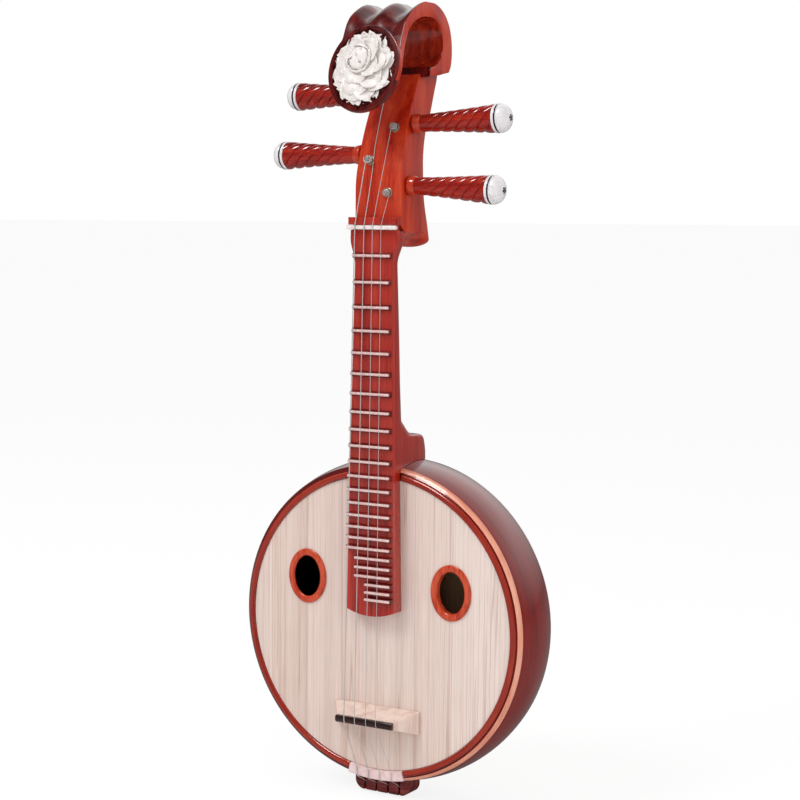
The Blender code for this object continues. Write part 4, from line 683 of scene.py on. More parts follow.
def tuner_frames(side, height, depth, tilt):
    """Frames of a tuner: its post (X out of the face) and its peg (X away from the head)."""
    scale = math.sqrt(1 + face_slope(height) ** 2)
    normal = Vector((0, -1 / scale, face_slope(height) / scale))
    upward = Vector((0, face_slope(height) / scale, 1 / scale))
    centre = Vector((side * POST_X, back(face_depth(height)), NUT_Z + height)) - normal * depth
    across = Vector((side, 0, 0))
    peg_out = across * math.cos(tilt) + upward * math.sin(tilt)
    peg_up = upward * math.cos(tilt) - across * math.sin(tilt)
    return (framed(normal, peg_up, centre),
            framed(peg_out, -peg_up, centre + peg_up * (WHEEL_RADIUS + WORM_RADIUS)))


def eased(points, amount):
    """An outline of (depth, height) points moved inwards by an amount."""
    moved = []
    for i, (depth, height) in enumerate(points):
        before, after = points[i - 1], points[(i + 1) % len(points)]
        run = Vector((after[0] - before[0], after[1] - before[1])).normalized()
        moved.append((depth - run.y * amount, height + run.x * amount))
    return moved


def round_slab(half, front, depth, radius, z):
    """A loop at a height: a slab from one depth to another with rounded corners."""
    radius = min(radius, (depth - front) * 0.45)
    corners = ((half - radius, front + radius, -90), (half - radius, depth - radius, 0),
               (radius - half, depth - radius, 90), (radius - half, front + radius, 180))
    return [(x + radius * math.cos(math.radians(turn + a)), back(d + radius * math.sin(math.radians(turn + a))), z)
            for x, d, turn in corners for a in (0, 30, 60, 90)]


stem = bmesh.new()
rings = []
for up, deepest, half in flowing(STEM_BACK, 6):
    front = face_depth(up)
    side = [(front, half - 0.0012), (front + 0.0003, half - 0.0004), (front + 0.0012, half), (deepest - 0.0025, half),
            (deepest - 0.0012, half - 0.0004), (deepest - 0.0004, half - 0.0012), (deepest, half - 0.0025)]
    rings.append([(x, back(d), NUT_Z + up) for d, x in side] + [(-x, back(d), NUT_Z + up) for d, x in reversed(side)])
front, low, deepest, high = STEM_TOP
spread = [(0.0, half - 0.0012), (0.01, half - 0.0004), (0.04, half), (0.917, half), (0.96, half - 0.0004),
          (0.987, half - 0.0012), (1.0, half - 0.0025)]
rings.append([(x, back(front + (deepest - front) * s), NUT_Z + low + (high - low) * s) for s, x in spread]
             + [(-x, back(front + (deepest - front) * s), NUT_Z + low + (high - low) * s) for s, x in reversed(spread)])
skinned(stem, rings)

chin = bmesh.new()
ceiling = flowing([(d, up, drop) for (d, up), drop in zip(CHIN_SIDE, CHIN_TONGUE)], 4)
rings = []
for x in (0.0265 * (i / 18 - 1) for i in range(37)):
    share = max(1 - (x / 0.0228) ** 2, 0.0)
    lips = [CHIN_LIP * min(max((d - LIP_START) / (LIP_END - LIP_START), 0.0), 1.0) for d, up, drop in ceiling]
    rings.append([(x, back(d), NUT_Z + up - drop * share - lip * math.sqrt(share))
                  for (d, up, drop), lip in zip(ceiling, lips)]
                 + [(x, back(0.052), NUT_Z - 0.05), (x, back(-0.008), NUT_Z - 0.05)])
skinned(chin, rings)

tools = [chin]
worm_bore = WORM_RADIUS + THREAD * 0.4 + 2 * FIT
lead = 2 * math.pi * WHEEL_RADIUS / WHEEL_TEETH
worm_end = lead + 0.0012 + 0.001
for side, height, depth, tilt in TUNERS:
    post_frame, peg_frame = tuner_frames(side, height, depth, tilt)
    for place, start, end, radius in (
            (post_frame, -WHEEL_HALF - POST_TAIL - FIT, depth + 0.02, POST_RADIUS + FIT),
            (post_frame, -WHEEL_HALF - FIT, WHEEL_HALF + FIT, WHEEL_RADIUS + TOOTH * 0.45 + FIT),
            (peg_frame, -worm_end, 0.04, worm_bore), (peg_frame, -worm_end - SHAFT_TAIL - FIT, 0.0, SHAFT_RADIUS + FIT)):
        tools.append(bmesh.new())
        lathed(tools[-1], place, [(start, radius), (end, radius)], count=32)
head = carved(stem, tools)
bmesh.ops.bisect_plane(head, geom=head.verts[:] + head.edges[:] + head.faces[:],
                       plane_co=(0, back(SCARF_DEPTH), NUT_Z + SCARF_HEIGHT + slide),
                       plane_no=(0, SCARF_SLOPE, 1), clear_inner=True)
bmesh.ops.holes_fill(head, edges=[edge for edge in head.edges if edge.is_boundary])
stem_faces = set(head.faces)

outer = [(d, min(up, 0.1879), share * 100) for d, up, share in flowing([(d, up, share / 100) for d, up, share in SCROLL_OUTER], 4)]
inner = [tuple(point) for point in flowing(ARM_INNER, 4)]
bore = [(BORE_DEPTH + BORE_RADIUS * math.cos(a), BORE_HEIGHT + BORE_RADIUS * math.sin(a))
        for a in (math.radians(96 - 184 * i / 44) for i in range(45))]
places = [SCROLL_HALF - SCROLL_EDGE * (1 - math.sin(a)) for a in (math.pi / 8 * i for i in range(4, -1, -1))]
places += [(SCROLL_HALF - SCROLL_EDGE) * (1 - i / 22) for i in range(1, 23)]
places += [-x for x in reversed(places[:-1])]
rings = []
for x in places:
    dip = SCROLL_WAVE * (1 - math.cos(2 * math.pi * x / SCROLL_HALF)) / 2
    over = max(abs(x) - SCROLL_HALF + SCROLL_EDGE, 0.0)
    ease = SCROLL_EDGE - math.sqrt(max(SCROLL_EDGE ** 2 - over ** 2, 0.0))
    waved = []
    for i, (d, up, share) in enumerate(outer):
        before, after = outer[max(i - 1, 0)], outer[min(i + 1, len(outer) - 1)]
        run = Vector((after[0] - before[0], after[1] - before[1])).normalized()
        waved.append((d - run.y * dip * share, up + run.x * dip * share))
    outline = eased(waved + [*ARM_TIP, *inner, *bore, *THROAT], ease)
    rings.append([(x, back(d), NUT_Z + up) for d, up in outline])
skinned(head, rings)
skinned(head, [round_slab(half, front, deepest, 0.0007, NUT_Z + up)
               for up, front, deepest, half in flowing(ARM_FLARE, 4)])

disc_frame = framed(Vector((0, -math.cos(DISC_LEAN), math.sin(DISC_LEAN))), Vector((1, 0, 0)),
                    Vector((0, back(DISC_DEPTH), NUT_Z + DISC_HEIGHT)))
recess = DISC_RADIUS - DISC_RIM
rounding = [(math.sin(math.pi / 8 * i), math.cos(math.pi / 8 * i)) for i in range(5)]
profile = [(-DISC_THICK + 0.001 * (1 - s), DISC_RADIUS - 0.001 * (1 - c)) for s, c in reversed(rounding)]
profile += [(-0.0008 * (1 - s), DISC_RADIUS - 0.0008 * (1 - c)) for s, c in rounding]
profile += [(-0.0004 * (1 - s), recess + 0.0004 * (1 - c)) for s, c in reversed(rounding)]
lathed(head, disc_frame, profile + [(-DISC_RECESS, recess)], DISC_OVAL, 128)
bore_axis = Vector((0, back(BORE_DEPTH), NUT_Z + BORE_HEIGHT))
head.normal_update()
# Faces of the scroll that face straight left or right take the lighter stem wood: painted light where the sides catch
# the bright surround. The rest of the scroll keeps the darker scroll wood.
for face in head.faces:
    centre = face.calc_center_median()
    face.material_index = 0 if face in stem_faces or (abs(face.normal.x) > 0.8 and centre.z > NUT_Z + 0.12) else 1
    if face.material_index and ((centre.yz - bore_axis.yz).length < BORE_RADIUS + 0.0004
                                and abs(centre.x) < SCROLL_HALF - 0.0003):
        face.material_index = 2
# The stem wood is the head's own colour on the stem, and painted light on the scroll's flat sides.
stem_wood_and_painted_side_light = wood("head_stem_wood_and_painted_side_light", ((160, 24, 4), (196, 46, 14), (212, 70, 30)), bands=80, fibres=900,
                 stretch=16, roughness=0.36, coat=0.4)
scroll_wood = wood("scroll_wood", ((58, 4, 4), (92, 10, 8), (122, 22, 16)), bands=95, fibres=700,
                   stretch=9, roughness=0.26)
# The bore's wood is the scroll's wood made lighter: painted light, so that the hollow shows as bright as a well-lit
# face.
bore_painted_light_wood = wood("scroll_bore_painted_light_wood", ((110, 14, 4), (158, 34, 10), (188, 52, 18)), bands=170, fibres=900,
                 stretch=4, roughness=0.24)
finished("carved_head", head, (stem_wood_and_painted_side_light, scroll_wood, bore_painted_light_wood), ["head"], sharp=38)


# The flower on the disc is a generic peony carved from white bone: broad ruffled petals round the
# rim, rounder ones above them, and a closed bud wrapped in petals a little above the middle. It is
# glued into the disc's recess.
FLOWER_RADIUS = 0.0298
BUD = Vector((-0.0040, 0.0070))
PETAL_THICK = 0.0011
# petals, share of the bud's place at root and tip, width, wrap, cup, tilt, ruffle, turn, and the
# (radius, height) of root, bend and tip
PETAL_RINGS = (
    (10, 0.0, 0.0, 0.0205, 0.0, 0.0004, 0.0009, 0.0007, 0.0, ((0.0130, 0.0012), (0.0240, 0.0040), (0.0297, 0.0028))),
    (8, 0.1, 0.0, 0.0220, 0.0, 0.0014, 0.0012, 0.0007, 0.5, ((0.0100, 0.0022), (0.0215, 0.0060), (0.0276, 0.0046))),
    (6, 0.4, 0.15, 0.0225, 0.1, 0.0020, 0.0014, 0.0006, 0.2, ((0.0085, 0.0030), (0.0180, 0.0082), (0.0235, 0.0056))),
    (5, 0.8, 0.5, 0.0205, 0.3, 0.0022, 0.0010, 0.0005, 0.6, ((0.0080, 0.0030), (0.0150, 0.0094), (0.0172, 0.0066))),
    (4, 1.0, 0.9, 0.0200, 0.9, 0.0, 0.0006, 0.0003, 0.1, ((0.0096, 0.0026), (0.0134, 0.0086), (0.0094, 0.0080))),
    (3, 1.0, 1.0, 0.0190, 1.0, 0.0, 0.0005, 0.0002, 0.7, ((0.0082, 0.0030), (0.0112, 0.0094), (0.0036, 0.0085))),
    (2, 1.0, 1.0, 0.0170, 1.0, 0.0, 0.0004, 0.0, 0.3, ((0.0066, 0.0036), (0.0088, 0.0098), (0.0006, 0.0088))),
)


def petal(bm, direction, centres, width, wrap, cup, tilt, ruffle, turn, course):
    """A thick, bent and ruffled petal that grows outwards, or closes over the bud."""
    sheet = bmesh.ops.create_grid(bm, x_segments=13, y_segments=11, size=0.5)["verts"]
    root, bend, tip = (Vector(point) for point in course)
    for vert in sheet:
        across, along = vert.co.x * 2, vert.co.y + 0.5
        swell = math.sin(math.pi * (0.14 + 0.78 * along)) ** 0.6
        along *= 1 - 0.13 * across ** 2 + 0.02 * math.sin(8 * across + 7 * turn) * along
        run = (bend - root) * 2 * (1 - along) + (tip - bend) * 2 * along
        radius, height = root * (1 - along) ** 2 + bend * 2 * along * (1 - along) + tip * along ** 2
        side = across * width / 2 * swell
        lift = cup * (across ** 2 - 0.3) + tilt * across * swell
        lift += ruffle * along ** 2 * (math.sin(5.2 * across + 11 * turn) + 0.6 * math.sin(11 * across + 5 * turn))
        radius -= lift * run.y / run.length
        height += lift * run.x / run.length
        curl = Matrix.Rotation(-wrap * side / max(radius, 0.003), 2)
        centre = centres[0] * (1 - along) + centres[1] * along
        flat = centre + curl @ (direction * radius) + curl @ Vector((direction.y, -direction.x)) * side * (1 - wrap)
        vert.co = (height, flat.x, flat.y)
    bmesh.ops.recalc_face_normals(bm, faces=list({face for vert in sheet for face in vert.link_faces}))
    bm.normal_update()
    under = {vert: vert.co - vert.normal * PETAL_THICK for vert in sheet}
    if sum(vert.normal.x for vert in sheet) < 0:
        under = {vert: vert.co + vert.normal * PETAL_THICK for vert in sheet}
    faces = list({face for vert in sheet for face in vert.link_faces})
    lower = [under[vert].copy() for vert in sheet]
    grown = bmesh.ops.extrude_face_region(bm, geom=faces)["geom"]
    fresh = [g for g in grown if isinstance(g, bmesh.types.BMVert)]
    for vert in fresh:
        vert.co = min(zip(sheet, lower), key=lambda pair: (pair[0].co - vert.co).length_squared)[1]


flower = bmesh.new()
for count, start, end, width, wrap, cup, tilt, ruffle, turn, course in PETAL_RINGS:
    for i in range(count):
        angle = 2 * math.pi * (i + turn) / count + 0.10 * math.sin(5 * i + 9 * turn)
        direction = Vector((math.sin(angle), math.cos(angle)))
        petal(flower, direction, (BUD * start, BUD * end), width * (1 + 0.08 * math.sin(3.7 * i + 13 * turn)),
              wrap, cup, tilt, ruffle, turn + 0.37 * i, course)
lathed(flower, Matrix.Identity(4), [(0.0, FLOWER_RADIUS - 0.0006), (0.0, FLOWER_RADIUS - 0.0002), (0.0002, FLOWER_RADIUS),
                                    (0.0008, FLOWER_RADIUS), (0.0014, FLOWER_RADIUS), (0.0018, FLOWER_RADIUS - 0.0003),
                                    (0.0021, FLOWER_RADIUS - 0.0010), (0.0028, 0.0220), (0.0036, 0.0120),
                                    (0.0040, 0.0040)], 1.0, 96)
core = Matrix.Translation((0.0022, BUD.x, BUD.y)) @ Matrix.Diagonal((0.0062, 0.0078, 0.0078, 1.0))
bmesh.ops.create_icosphere(flower, subdivisions=3, radius=1.0, matrix=core)
seat = disc_frame @ Matrix.Diagonal((1.0, 1.0, DISC_OVAL, 1.0)) @ Matrix.Translation((-DISC_RECESS + FIT, 0, 0))
bmesh.ops.transform(flower, matrix=seat, verts=flower.verts)
flower_bone = mottled("carved_white_bone", ((232, 222, 218), (242, 235, 230), (247, 242, 240)), size=240, roughness=0.4)
carving = finished("peony_carving", flower, flower_bone, ["flower_carving"], sharp=60)
smoother = carving.modifiers.new("soft petals", 'SUBSURF')
smoother.levels = smoother.render_levels = 1


# Each tuner is a steel post with a worm wheel, driven by a worm on the peg's shaft. The posts come
# out of the head's face through bright washers and carry the strings.
steel, tree, shader, place = blank("polished_steel", 0.22, metallic=0.6)
turned = node(tree, "ShaderNodeTexNoise", {"Vector": place, "Scale": 900.0, "Detail": 3.0})
tree.links.new(tones(tree, turned.outputs[0], (0.3, (186, 184, 182)), (0.7, (222, 220, 218))),
               shader.inputs["Base Color"])
brass, tree, shader, place = blank("warm_washer_metal", 0.26, metallic=0.6)
turned = node(tree, "ShaderNodeTexNoise", {"Vector": place, "Scale": 700.0, "Detail": 3.0})
tree.links.new(tones(tree, turned.outputs[0], (0.3, (168, 150, 122)), (0.7, (214, 200, 176))),
               shader.inputs["Base Color"])
WASHER_RADIUS, WASHER_THICK = 0.0040, 0.0007
for number, (side, height, depth, tilt) in enumerate(TUNERS, 1):
    post_frame, peg_frame = tuner_frames(side, height, depth, tilt)
    tip = depth + POST_PROUD
    post = bmesh.new()
    lathed(post, post_frame, [(-WHEEL_HALF - POST_TAIL, POST_RADIUS), (tip - 0.0006, POST_RADIUS)]
           + [(tip - 0.0006 * (1 - s), POST_RADIUS - 0.0006 * (1 - c)) for s, c in rounding[1:]], count=40)
    rim = hoop(post, post_frame, -WHEEL_HALF, WHEEL_RADIUS + TOOTH * 0.45, count=WHEEL_TEETH * 8)
    flat_back = post_frame.inverted()
    rim_verts = {v for edge in rim for v in edge.verts}
    for vert in rim_verts:
        here = flat_back @ vert.co
        angle = math.atan2(here.z, here.y)
        share = (angle / (2 * math.pi) * WHEEL_TEETH + 0.5) % 1.0
        radius = WHEEL_RADIUS + TOOTH * (0.45 - min(max((abs(share - 0.5) - 0.16) / 0.14, 0.0), 1.0))
        vert.co = post_frame @ Vector((here.x, radius * math.cos(angle), radius * math.sin(angle)))
    wheel = bmesh.ops.contextual_create(post, geom=rim)["faces"]
    grown = bmesh.ops.extrude_face_region(post, geom=wheel)["geom"]
    grown = [g for g in grown if isinstance(g, bmesh.types.BMVert)]
    twist = WHEEL_HALF * 2 / WORM_RADIUS / WHEEL_TEETH
    axis = (post_frame @ Vector((1, 0, 0)) - post_frame.translation).normalized()
    bmesh.ops.translate(post, verts=grown, vec=axis * WHEEL_HALF * 2)
    bmesh.ops.rotate(post, verts=grown, cent=post_frame.translation, matrix=Matrix.Rotation(twist, 3, axis))
    finished(f"winding_post_{number}", post, steel, [f"string_post_{number}"], f"post_{number}")
    washer = bmesh.new()
    bridged(washer, [hoop(washer, post_frame, depth + out, radius, count=48) for out, radius in (
        (-0.0002, 0.0027), (WASHER_THICK, 0.0027), (WASHER_THICK * 1.3, 0.0030), (WASHER_THICK * 1.3, 0.0034),
        (WASHER_THICK * 0.8, WASHER_RADIUS), (-0.0002, WASHER_RADIUS))], closed=True)
    finished(f"post_washer_{number}", washer, brass)
    for place_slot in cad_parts[f"peg_worm_{number}"].material_slots:
        place_slot.material = steel


# The pegs are turned from red wood with five rounded ribs that wind along them, and pushed onto the
# worm shafts. A ringed cap of white plastic with a small dark blossom closes each end.
PEG_ROOT_X, PEG_LENGTH = 0.0232, 0.0755
ROOT_RADIUS, END_RADIUS, COLLAR_RADIUS, COLLAR_LENGTH = 0.0073, 0.0120, 0.0086, 0.0070
RIBS, RIB_DEEP, RIB_LEAD, PEG_ROWS, RIB_POINTS = 5, 0.15, 0.051, 72, 14
CAP_RADIUS, CAP_RING, CAP_DOME, CAP_STEP, SOCKET_DEEP = 0.0121, 0.005, 0.0085, 0.0005, 0.012
DOT_AWAY, DOT_PETAL = 0.0019, 0.00125
peg_wood = wood("peg_wood", ((116, 12, 6), (156, 26, 14), (186, 44, 22)), along="X", bands=110, fibres=900,
                stretch=14, roughness=0.2)
collar_wood = wood("peg_collar_wood", ((168, 34, 14), (194, 54, 28), (210, 74, 42)), along="X", bands=110,
                   fibres=900, stretch=8, roughness=0.24)
cap_white = mottled("cap_white", ((234, 228, 230), (242, 238, 241), (247, 245, 247)), size=200, roughness=0.24, coat=0.6)
cap_dark = mottled("cap_dark_ring", ((22, 16, 20), (34, 24, 30), (44, 32, 38)), size=400, roughness=0.3, coat=0.5)
for number, (side, height, depth, tilt) in enumerate(TUNERS, 1):
    post_frame, peg_frame = tuner_frames(side, height, depth, tilt)
    start = (PEG_ROOT_X - POST_X) / math.cos(tilt)
    end = start + PEG_LENGTH
    collar_end = start + COLLAR_LENGTH
    handle = bmesh.new()
    count = RIBS * RIB_POINTS
    loops = [hoop(handle, peg_frame, along, radius, count=count) for along, radius in (
        (start + SOCKET_DEEP, SHAFT_RADIUS + FIT), (start, SHAFT_RADIUS + FIT), (start, COLLAR_RADIUS - 0.0012),
        (start + 0.0003, COLLAR_RADIUS - 0.0005), (start + 0.0012, COLLAR_RADIUS),
        (start + 0.0036, COLLAR_RADIUS - 0.0002), (collar_end - 0.0008, COLLAR_RADIUS - 0.0008),
        (collar_end, ROOT_RADIUS + 0.0001), (collar_end, ROOT_RADIUS))]
    for one, other in zip(loops, loops[1:]):
        bmesh.ops.bridge_loops(handle, edges=one + other)
    bmesh.ops.contextual_create(handle, geom=loops[0])
    collar_faces = set(handle.faces)
    axis = (peg_frame @ Vector((1, 0, 0)) - peg_frame.translation).normalized()
    step = (end - collar_end) / PEG_ROWS
    row = loops[-1]
    unturn = peg_frame.inverted()
    for i in range(1, PEG_ROWS + 1):
        grown = bmesh.ops.extrude_edge_only(handle, edges=row)["geom"]
        verts = [g for g in grown if isinstance(g, bmesh.types.BMVert)]
        bmesh.ops.translate(handle, verts=verts, vec=axis * step)
        bmesh.ops.rotate(handle, verts=verts, cent=peg_frame.translation,
                         matrix=Matrix.Rotation(-2 * math.pi * step / RIB_LEAD, 3, axis))
        fresh = set(verts)
        row = [g for g in grown if isinstance(g, bmesh.types.BMEdge) and all(v in fresh for v in g.verts)]
        share = i / PEG_ROWS
        grooves = RIB_DEEP * min(4 * share, 1.0, 0.4 + 9 * (1 - share))
        for vert in verts:
            here = unturn @ vert.co
            angle = math.atan2(here.z, here.y)
            swing = (angle + 2 * math.pi * (here.x - collar_end) / RIB_LEAD) * RIBS / (2 * math.pi)
            off = abs((swing % 1.0) - 0.5) * 2
            radius = ROOT_RADIUS + (END_RADIUS - ROOT_RADIUS) * share ** 1.2
            radius *= 1 - grooves * (1 - math.sqrt(max(1 - off ** 2, 0.0)))
            vert.co = peg_frame @ Vector((here.x, radius * math.cos(angle), radius * math.sin(angle)))
    bmesh.ops.contextual_create(handle, geom=row)
    for face in handle.faces:
        face.material_index = 1 if face in collar_faces else 0
    finished(f"ribbed_peg_{number}", handle, (peg_wood, collar_wood), [f"peg_handle_{number}"],
             f"peg_{number}", sharp=45)

    cap = bmesh.new()
    base = end + FIT
    dome = base + CAP_RING
    wide = CAP_RADIUS - CAP_STEP
    bands = [(base, CAP_RADIUS - 0.0006, 0), (base + 0.0002, CAP_RADIUS - 0.0002, 0), (base + 0.0006, CAP_RADIUS, 0),
             (base + 0.0022, CAP_RADIUS, 0), (base + 0.0025, CAP_RADIUS - 0.0003, 1), (base + 0.0041, CAP_RADIUS - 0.0003, 1),
             (base + 0.0044, CAP_RADIUS, 0), (dome, CAP_RADIUS, 0), (dome + 0.0003, wide, 0)]
    bands += [(dome + CAP_DOME * math.sin(a), wide * math.cos(a), 0) for a in (math.pi / 2 * i / 16 for i in range(1, 16))]
    lathed(cap, peg_frame, [(along, radius) for along, radius, _ in bands], count=64)
    for face in cap.faces:
        along = (unturn @ face.calc_center_median()).x
        face.material_index = 1 if base + 0.0024 < along < base + 0.0042 else 0
    white_faces = set(cap.faces)
    for i in range(6):
        angle = 2 * math.pi * i / 5
        away = 0.0 if i == 5 else DOT_AWAY
        sunk = CAP_DOME * (1 - math.sqrt(1 - (away / wide) ** 2))
        dot = peg_frame @ Matrix.Translation((dome + CAP_DOME - sunk - 0.0002, away * math.cos(angle), away * math.sin(angle)))
        bmesh.ops.create_uvsphere(cap, u_segments=20, v_segments=10, radius=1.0,
                                  matrix=dot @ Matrix.Diagonal((0.0004, DOT_PETAL, DOT_PETAL, 1.0)))
    for face in cap.faces:
        if face not in white_faces:
            face.material_index = 1
    finished(f"ringed_cap_{number}", cap, (cap_white, cap_dark), [f"peg_cap_{number}"],
             f"peg_{number}", sharp=50)


# The bridge stands on the soundboard and is held there by the strings: a pale base with sloped
# shoulders and flat feet, and a dark strip glued on top that the strings press on.
BRIDGE_X, BRIDGE_Z = 0.001, -0.081
FOOT_HALF, RIDGE_HALF, FOOT_LONG, RIDGE_LONG = 0.0415, 0.0283, 0.010, 0.0034
FOOT_HIGH, BASE_HIGH, STRIP_HIGH = 0.003, 0.0212, 0.0036
base = bmesh.new()
levels = [(-FIT, FOOT_HALF, FOOT_LONG), (-FOOT_HIGH, FOOT_HALF, FOOT_LONG)]
for share in (i / 10 for i in range(1, 11)):
    levels.append((-FOOT_HIGH - (BASE_HIGH - FOOT_HIGH) * share, FOOT_HALF + (RIDGE_HALF - FOOT_HALF) * share,
                   FOOT_LONG + (RIDGE_LONG - FOOT_LONG) * share ** 0.85))
skinned(base, [[(BRIDGE_X + x, back(d), BRIDGE_Z + z) for x, z in (
    (-half, -long), (half, -long), (half, long), (-half, long))] for d, half, long in levels])
sharp_edges = [edge for edge in base.edges if edge.calc_face_angle(0.0) > math.radians(40)]
bmesh.ops.bevel(base, geom=sharp_edges, offset=0.0006, segments=3, profile=0.5, affect='EDGES', material=-1)
bridge_wood = wood("bridge_base_wood", ((220, 190, 176), (238, 212, 198), (246, 224, 212)), bands=120, fibres=1100,
                   stretch=10, roughness=0.45, coat=0.1)
finished("pale_bridge_base", base, bridge_wood, ["bridge_base"])

foot = -BASE_HIGH - FIT
front = foot - STRIP_HIGH
half = RIDGE_LONG - 0.0004
saddle = bmesh.new()
curve = [(front + 0.0015 * (1 - math.sin(a)), -half * math.cos(a)) for a in (math.pi * i / 10 for i in range(11))]
skinned(saddle, [[(BRIDGE_X + x, back(d), BRIDGE_Z + z) for d, z in [(foot, -half)] + curve + [(foot, half)]]
                 for x in (-RIDGE_HALF, RIDGE_HALF)])
tips = {edge for face in saddle.faces if len(face.verts) == 13 for edge in face.edges}
bmesh.ops.bevel(saddle, geom=list(tips), offset=0.0005, segments=2, profile=0.5, affect='EDGES', material=-1)
saddle_wood = wood("bridge_strip_wood", ((34, 16, 16), (56, 32, 30), (82, 56, 52)), along="X", bands=150, fibres=900,
                   stretch=14, roughness=0.34, coat=0.5)
finished("dark_bridge_strip", saddle, saddle_wood, ["bridge_saddle"])


# The tail saddle is a curved strip of pinkish bone let into the rim, and the tailpiece below it is a
# rounded slab of dark red wood, glued to the wall, with four slots that hold the strings' ends.
SADDLE_PROUD, SADDLE_ROUND = 0.0026, 0.0010
TAIL_HALF, TAIL_BOTTOM, TAIL_FRONT, TAIL_DEEP, TAIL_CORNER = 0.0275, -0.151, 0.009, 0.018, 0.009
SLOT_X, SLOT_WIDE, SLOT_DEEP = (-0.0173, -0.0058, 0.0058, 0.0173), 0.0020, 0.005
fall = (WALL_FRONT - CHAMFER_FRONT) / (WALL_RADIUS - CHAMFER_RADIUS)
ledge = CHAMFER_RADIUS - 2 * FIT
low = CHAMFER_FRONT - (CHAMFER_RADIUS - ledge) * fall - 1.6 * FIT
outer_radius = WALL_RADIUS - FIT
profile = [(board_seat, BEAD_SEAT - FIT), (ledge, BEAD_SEAT - FIT), (ledge, low),
           (outer_radius, low + (outer_radius - ledge) * fall)]
profile += [(outer_radius - SADDLE_ROUND * (1 - c), -SADDLE_PROUD + SADDLE_ROUND * (1 - s)) for s, c in rounding]
profile += [(board_seat + 0.0006 * (1 - c), -SADDLE_PROUD + 0.0006 * (1 - s)) for s, c in reversed(rounding)]
angle = math.asin(TAIL_SADDLE_HALF / middle)
tail_saddle = bmesh.new()
spun(tail_saddle, profile, steps=40, start=math.pi - angle, sweep=2 * angle)
tips = {edge for face in tail_saddle.faces if len(face.verts) == len(profile) for edge in face.edges}
bmesh.ops.bevel(tail_saddle, geom=list(tips), offset=0.0004, segments=2, profile=0.5, affect='EDGES', material=-1)
saddle_bone = mottled("tail_saddle_bone", ((232, 196, 196), (244, 216, 214), (248, 228, 228)), size=260)
finished("bone_tail_saddle", tail_saddle, saddle_bone, ["tail_saddle"])

inside = -WALL_RADIUS + 0.007
outline = [(-TAIL_HALF, inside)]
for sign in (-1, 1):
    for i in range(13):
        turn = math.pi / 2 * (i if sign < 0 else 12 - i) / 12
        outline.append((sign * (TAIL_HALF - TAIL_CORNER + TAIL_CORNER * math.cos(turn)),
                        TAIL_BOTTOM + TAIL_CORNER - TAIL_CORNER * math.sin(turn)))
tailpiece = bmesh.new()
bmesh.ops.contextual_create(tailpiece, geom=loop(tailpiece, [(x, back(TAIL_FRONT), z) for x, z in outline + [(TAIL_HALF, inside)]]))
thickened(tailpiece, TAIL_DEEP)
rims = [edge for edge in tailpiece.edges if all(abs(v.co.y - back(TAIL_FRONT)) < 1e-6 for v in edge.verts)]
bmesh.ops.bevel(tailpiece, geom=rims, offset=0.0011, segments=4, profile=0.5, affect='EDGES', material=-1)
body_form = bmesh.new()
bridged(body_form, [front_circle(body_form, -FIT, CHAMFER_RADIUS - FIT)]
        + [front_circle(body_form, d, wall_radius(d) + FIT) for d in depths])
tools = [body_form]
for x in SLOT_X:
    tools.append(bmesh.new())
    bar(tools[-1], (x - SLOT_WIDE / 2, back(TAIL_FRONT - 0.02), TAIL_BOTTOM - 0.02),
        (x + SLOT_WIDE / 2, back(TAIL_FRONT + SLOT_DEEP), inside + 0.02))
tail_wood = wood("tailpiece_wood", ((84, 14, 14), (116, 28, 26), (150, 62, 56)), along="X", bands=260, fibres=1200,
                 stretch=9, roughness=0.24)
finished("slotted_tailpiece", carved(tailpiece, tools), tail_wood, ["tailpiece"])


# The four strings are steel wire, the two thickest wound over with finer wire. Each runs from its
# slot in the tailpiece over saddle, bridge and nut to its post, and round it in open turns.
string_metal, tree, shader, place = blank("string_metal", 0.3, metallic=0.35)
wound = node(tree, "ShaderNodeTexWave", {"Vector": place, "Scale": 950.0}, bands_direction='Z')
tree.links.new(tones(tree, wound.outputs["Color"], (0.2, (196, 190, 190)), (0.8, (236, 232, 232))),
               shader.inputs["Base Color"])
for number in range(1, 5):
    wire = bmesh.new()
    wire.from_mesh(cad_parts[f"string_{number}"].data)
    finished(f"drawn_string_{number}", wire, string_metal, [f"string_{number}"], sharp=70)


# The studio: a wide pale floor, an even pale surround that is white to the camera, and two large
# soft lamps. The camera stands to the right of the instrument, at the height of its neck.
FLOOR_GLOW, FLOOR_WHITE, FLOOR_MIRRORED = 0.8, 1.07, (0.25, 0.24, 0.24)
WORLD_LIGHT, ROOM_DARK = 0.56, 0.05
camera = bpy.data.objects.new("camera", bpy.data.cameras.new("camera"))
bpy.context.collection.objects.link(camera)
camera.data.lens = 86.1
camera.data.sensor_width = 36.0
aim = Matrix.Rotation(0.5354, 4, 'Z') @ Matrix.Rotation(math.pi / 2 - 0.1008, 4, 'X') @ Matrix.Rotation(0.0077, 4, 'Z')
camera.matrix_world = Matrix.Translation((0.8389, -1.4366, 0.3566)) @ aim
bpy.context.scene.camera = camera
bpy.context.scene.view_settings.view_transform = 'Standard'

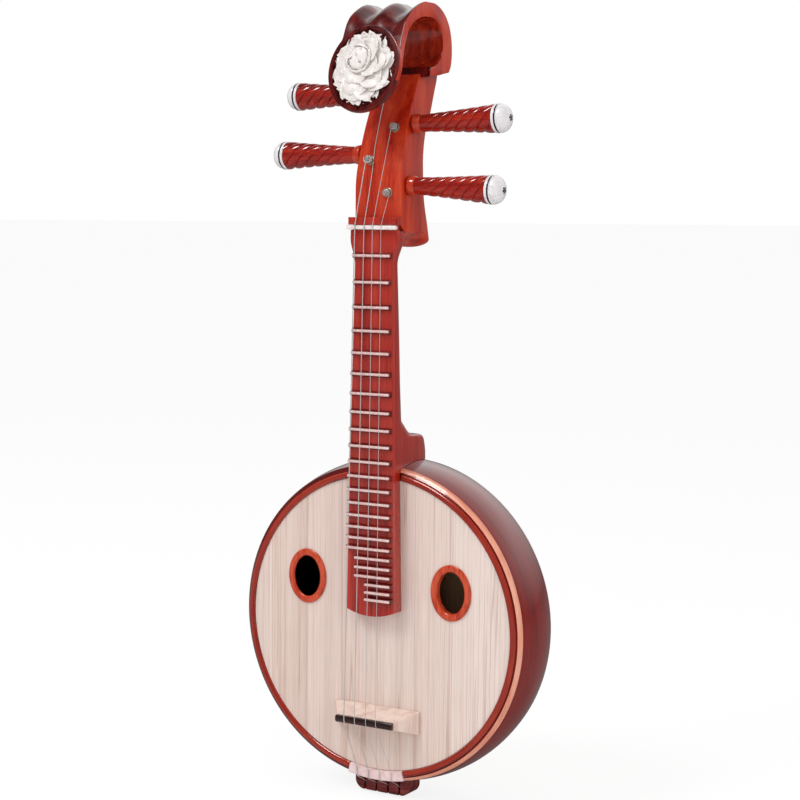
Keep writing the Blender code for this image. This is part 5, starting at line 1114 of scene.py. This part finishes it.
ground = bmesh.new()
bmesh.ops.create_circle(ground, cap_ends=True, segments=64, radius=60.0,
                        matrix=Matrix.Translation((0, 0, cad_box[0][2] - 0.002)))
floor_mesh = bpy.data.meshes.new("floor")
ground.to_mesh(floor_mesh)
ground.free()
floor = bpy.data.objects.new("floor", floor_mesh)
bpy.context.collection.objects.link(floor)
floor_paint = bpy.data.materials.new("pale_floor")
floor_paint.use_nodes = True
tree = floor_paint.node_tree
seen = node(tree, "ShaderNodeLightPath")
share = node(tree, "ShaderNodeMath", {0: seen.outputs["Is Camera Ray"], 1: FLOOR_GLOW}, operation='MULTIPLY')
dimmed = node(tree, "ShaderNodeMix", {0: seen.outputs["Is Glossy Ray"], 6: (0.9, 0.9, 0.9, 1.0),
                                      7: (*FLOOR_MIRRORED, 1.0)}, data_type='RGBA')
matt = node(tree, "ShaderNodeBsdfDiffuse", {"Color": dimmed.outputs[2]})
glow = node(tree, "ShaderNodeEmission", {"Color": (1.0, 1.0, 1.0, 1.0), "Strength": FLOOR_WHITE})
blend = node(tree, "ShaderNodeMixShader", {0: share.outputs[0], 1: matt.outputs[0], 2: glow.outputs[0]})
tree.links.new(blend.outputs[0], tree.nodes["Material Output"].inputs["Surface"])
floor_mesh.materials.append(floor_paint)

world = bpy.data.worlds.new("studio")
bpy.context.scene.world = world
world.use_nodes = True
tree = world.node_tree
seen = node(tree, "ShaderNodeLightPath")
heading = node(tree, "ShaderNodeTexCoord").outputs["Generated"]
parts = node(tree, "ShaderNodeSeparateXYZ", {"Vector": heading})
above = node(tree, "ShaderNodeMapRange", {0: parts.outputs["Z"], 1: -0.10, 2: 0.42, 3: 0.0, 4: 1.0})
behind = node(tree, "ShaderNodeMapRange", {0: parts.outputs["Y"], 1: 0.20, 2: 0.75, 3: 0.0, 4: 1.0})
both = node(tree, "ShaderNodeMath", {0: above.outputs[0], 1: behind.outputs[0]}, operation='MULTIPLY')
lit = node(tree, "ShaderNodeMath", {0: both.outputs[0], 1: ROOM_DARK}, operation='MAXIMUM')
mirrored = node(tree, "ShaderNodeMath", {0: seen.outputs["Is Glossy Ray"], 1: lit.outputs[0]}, operation='MULTIPLY')
clear = node(tree, "ShaderNodeMath", {0: seen.outputs["Is Camera Ray"], 1: seen.outputs["Is Transmission Ray"]},
             operation='MAXIMUM')
shown = node(tree, "ShaderNodeMath", {0: clear.outputs[0], 1: mirrored.outputs[0]}, operation='MAXIMUM')
bounced = node(tree, "ShaderNodeMath", {0: seen.outputs["Is Diffuse Ray"], 1: WORLD_LIGHT}, operation='MULTIPLY')
level = node(tree, "ShaderNodeMath", {0: shown.outputs[0], 1: bounced.outputs[0]}, operation='MAXIMUM')
tree.links.new(level.outputs[0], tree.nodes["Background"].inputs["Strength"])
tree.nodes["Background"].inputs["Color"].default_value = (1.0, 1.0, 1.0, 1.0)

for name, place, power, size in (("upper_left_lamp", (-1.1, -1.7, 2.3), 34, 1.1), ("right_lamp", (2.2, -1.2, 1.2), 16, 1.6),
                                 ("gloss_lamp", (-0.15, -1.4, 2.25), 30, 0.8)):
    lamp = bpy.data.objects.new(name, bpy.data.lights.new(name, 'AREA'))
    bpy.context.collection.objects.link(lamp)
    lamp.data.energy = power
    lamp.data.size = size
    lamp.location = place
    lamp.visible_glossy = name == "gloss_lamp"
    lamp.visible_diffuse = name != "gloss_lamp"
    lamp.rotation_euler = (Vector((0, 0, 0.2)) - Vector(place)).to_track_quat('-Z', 'Y').to_euler()
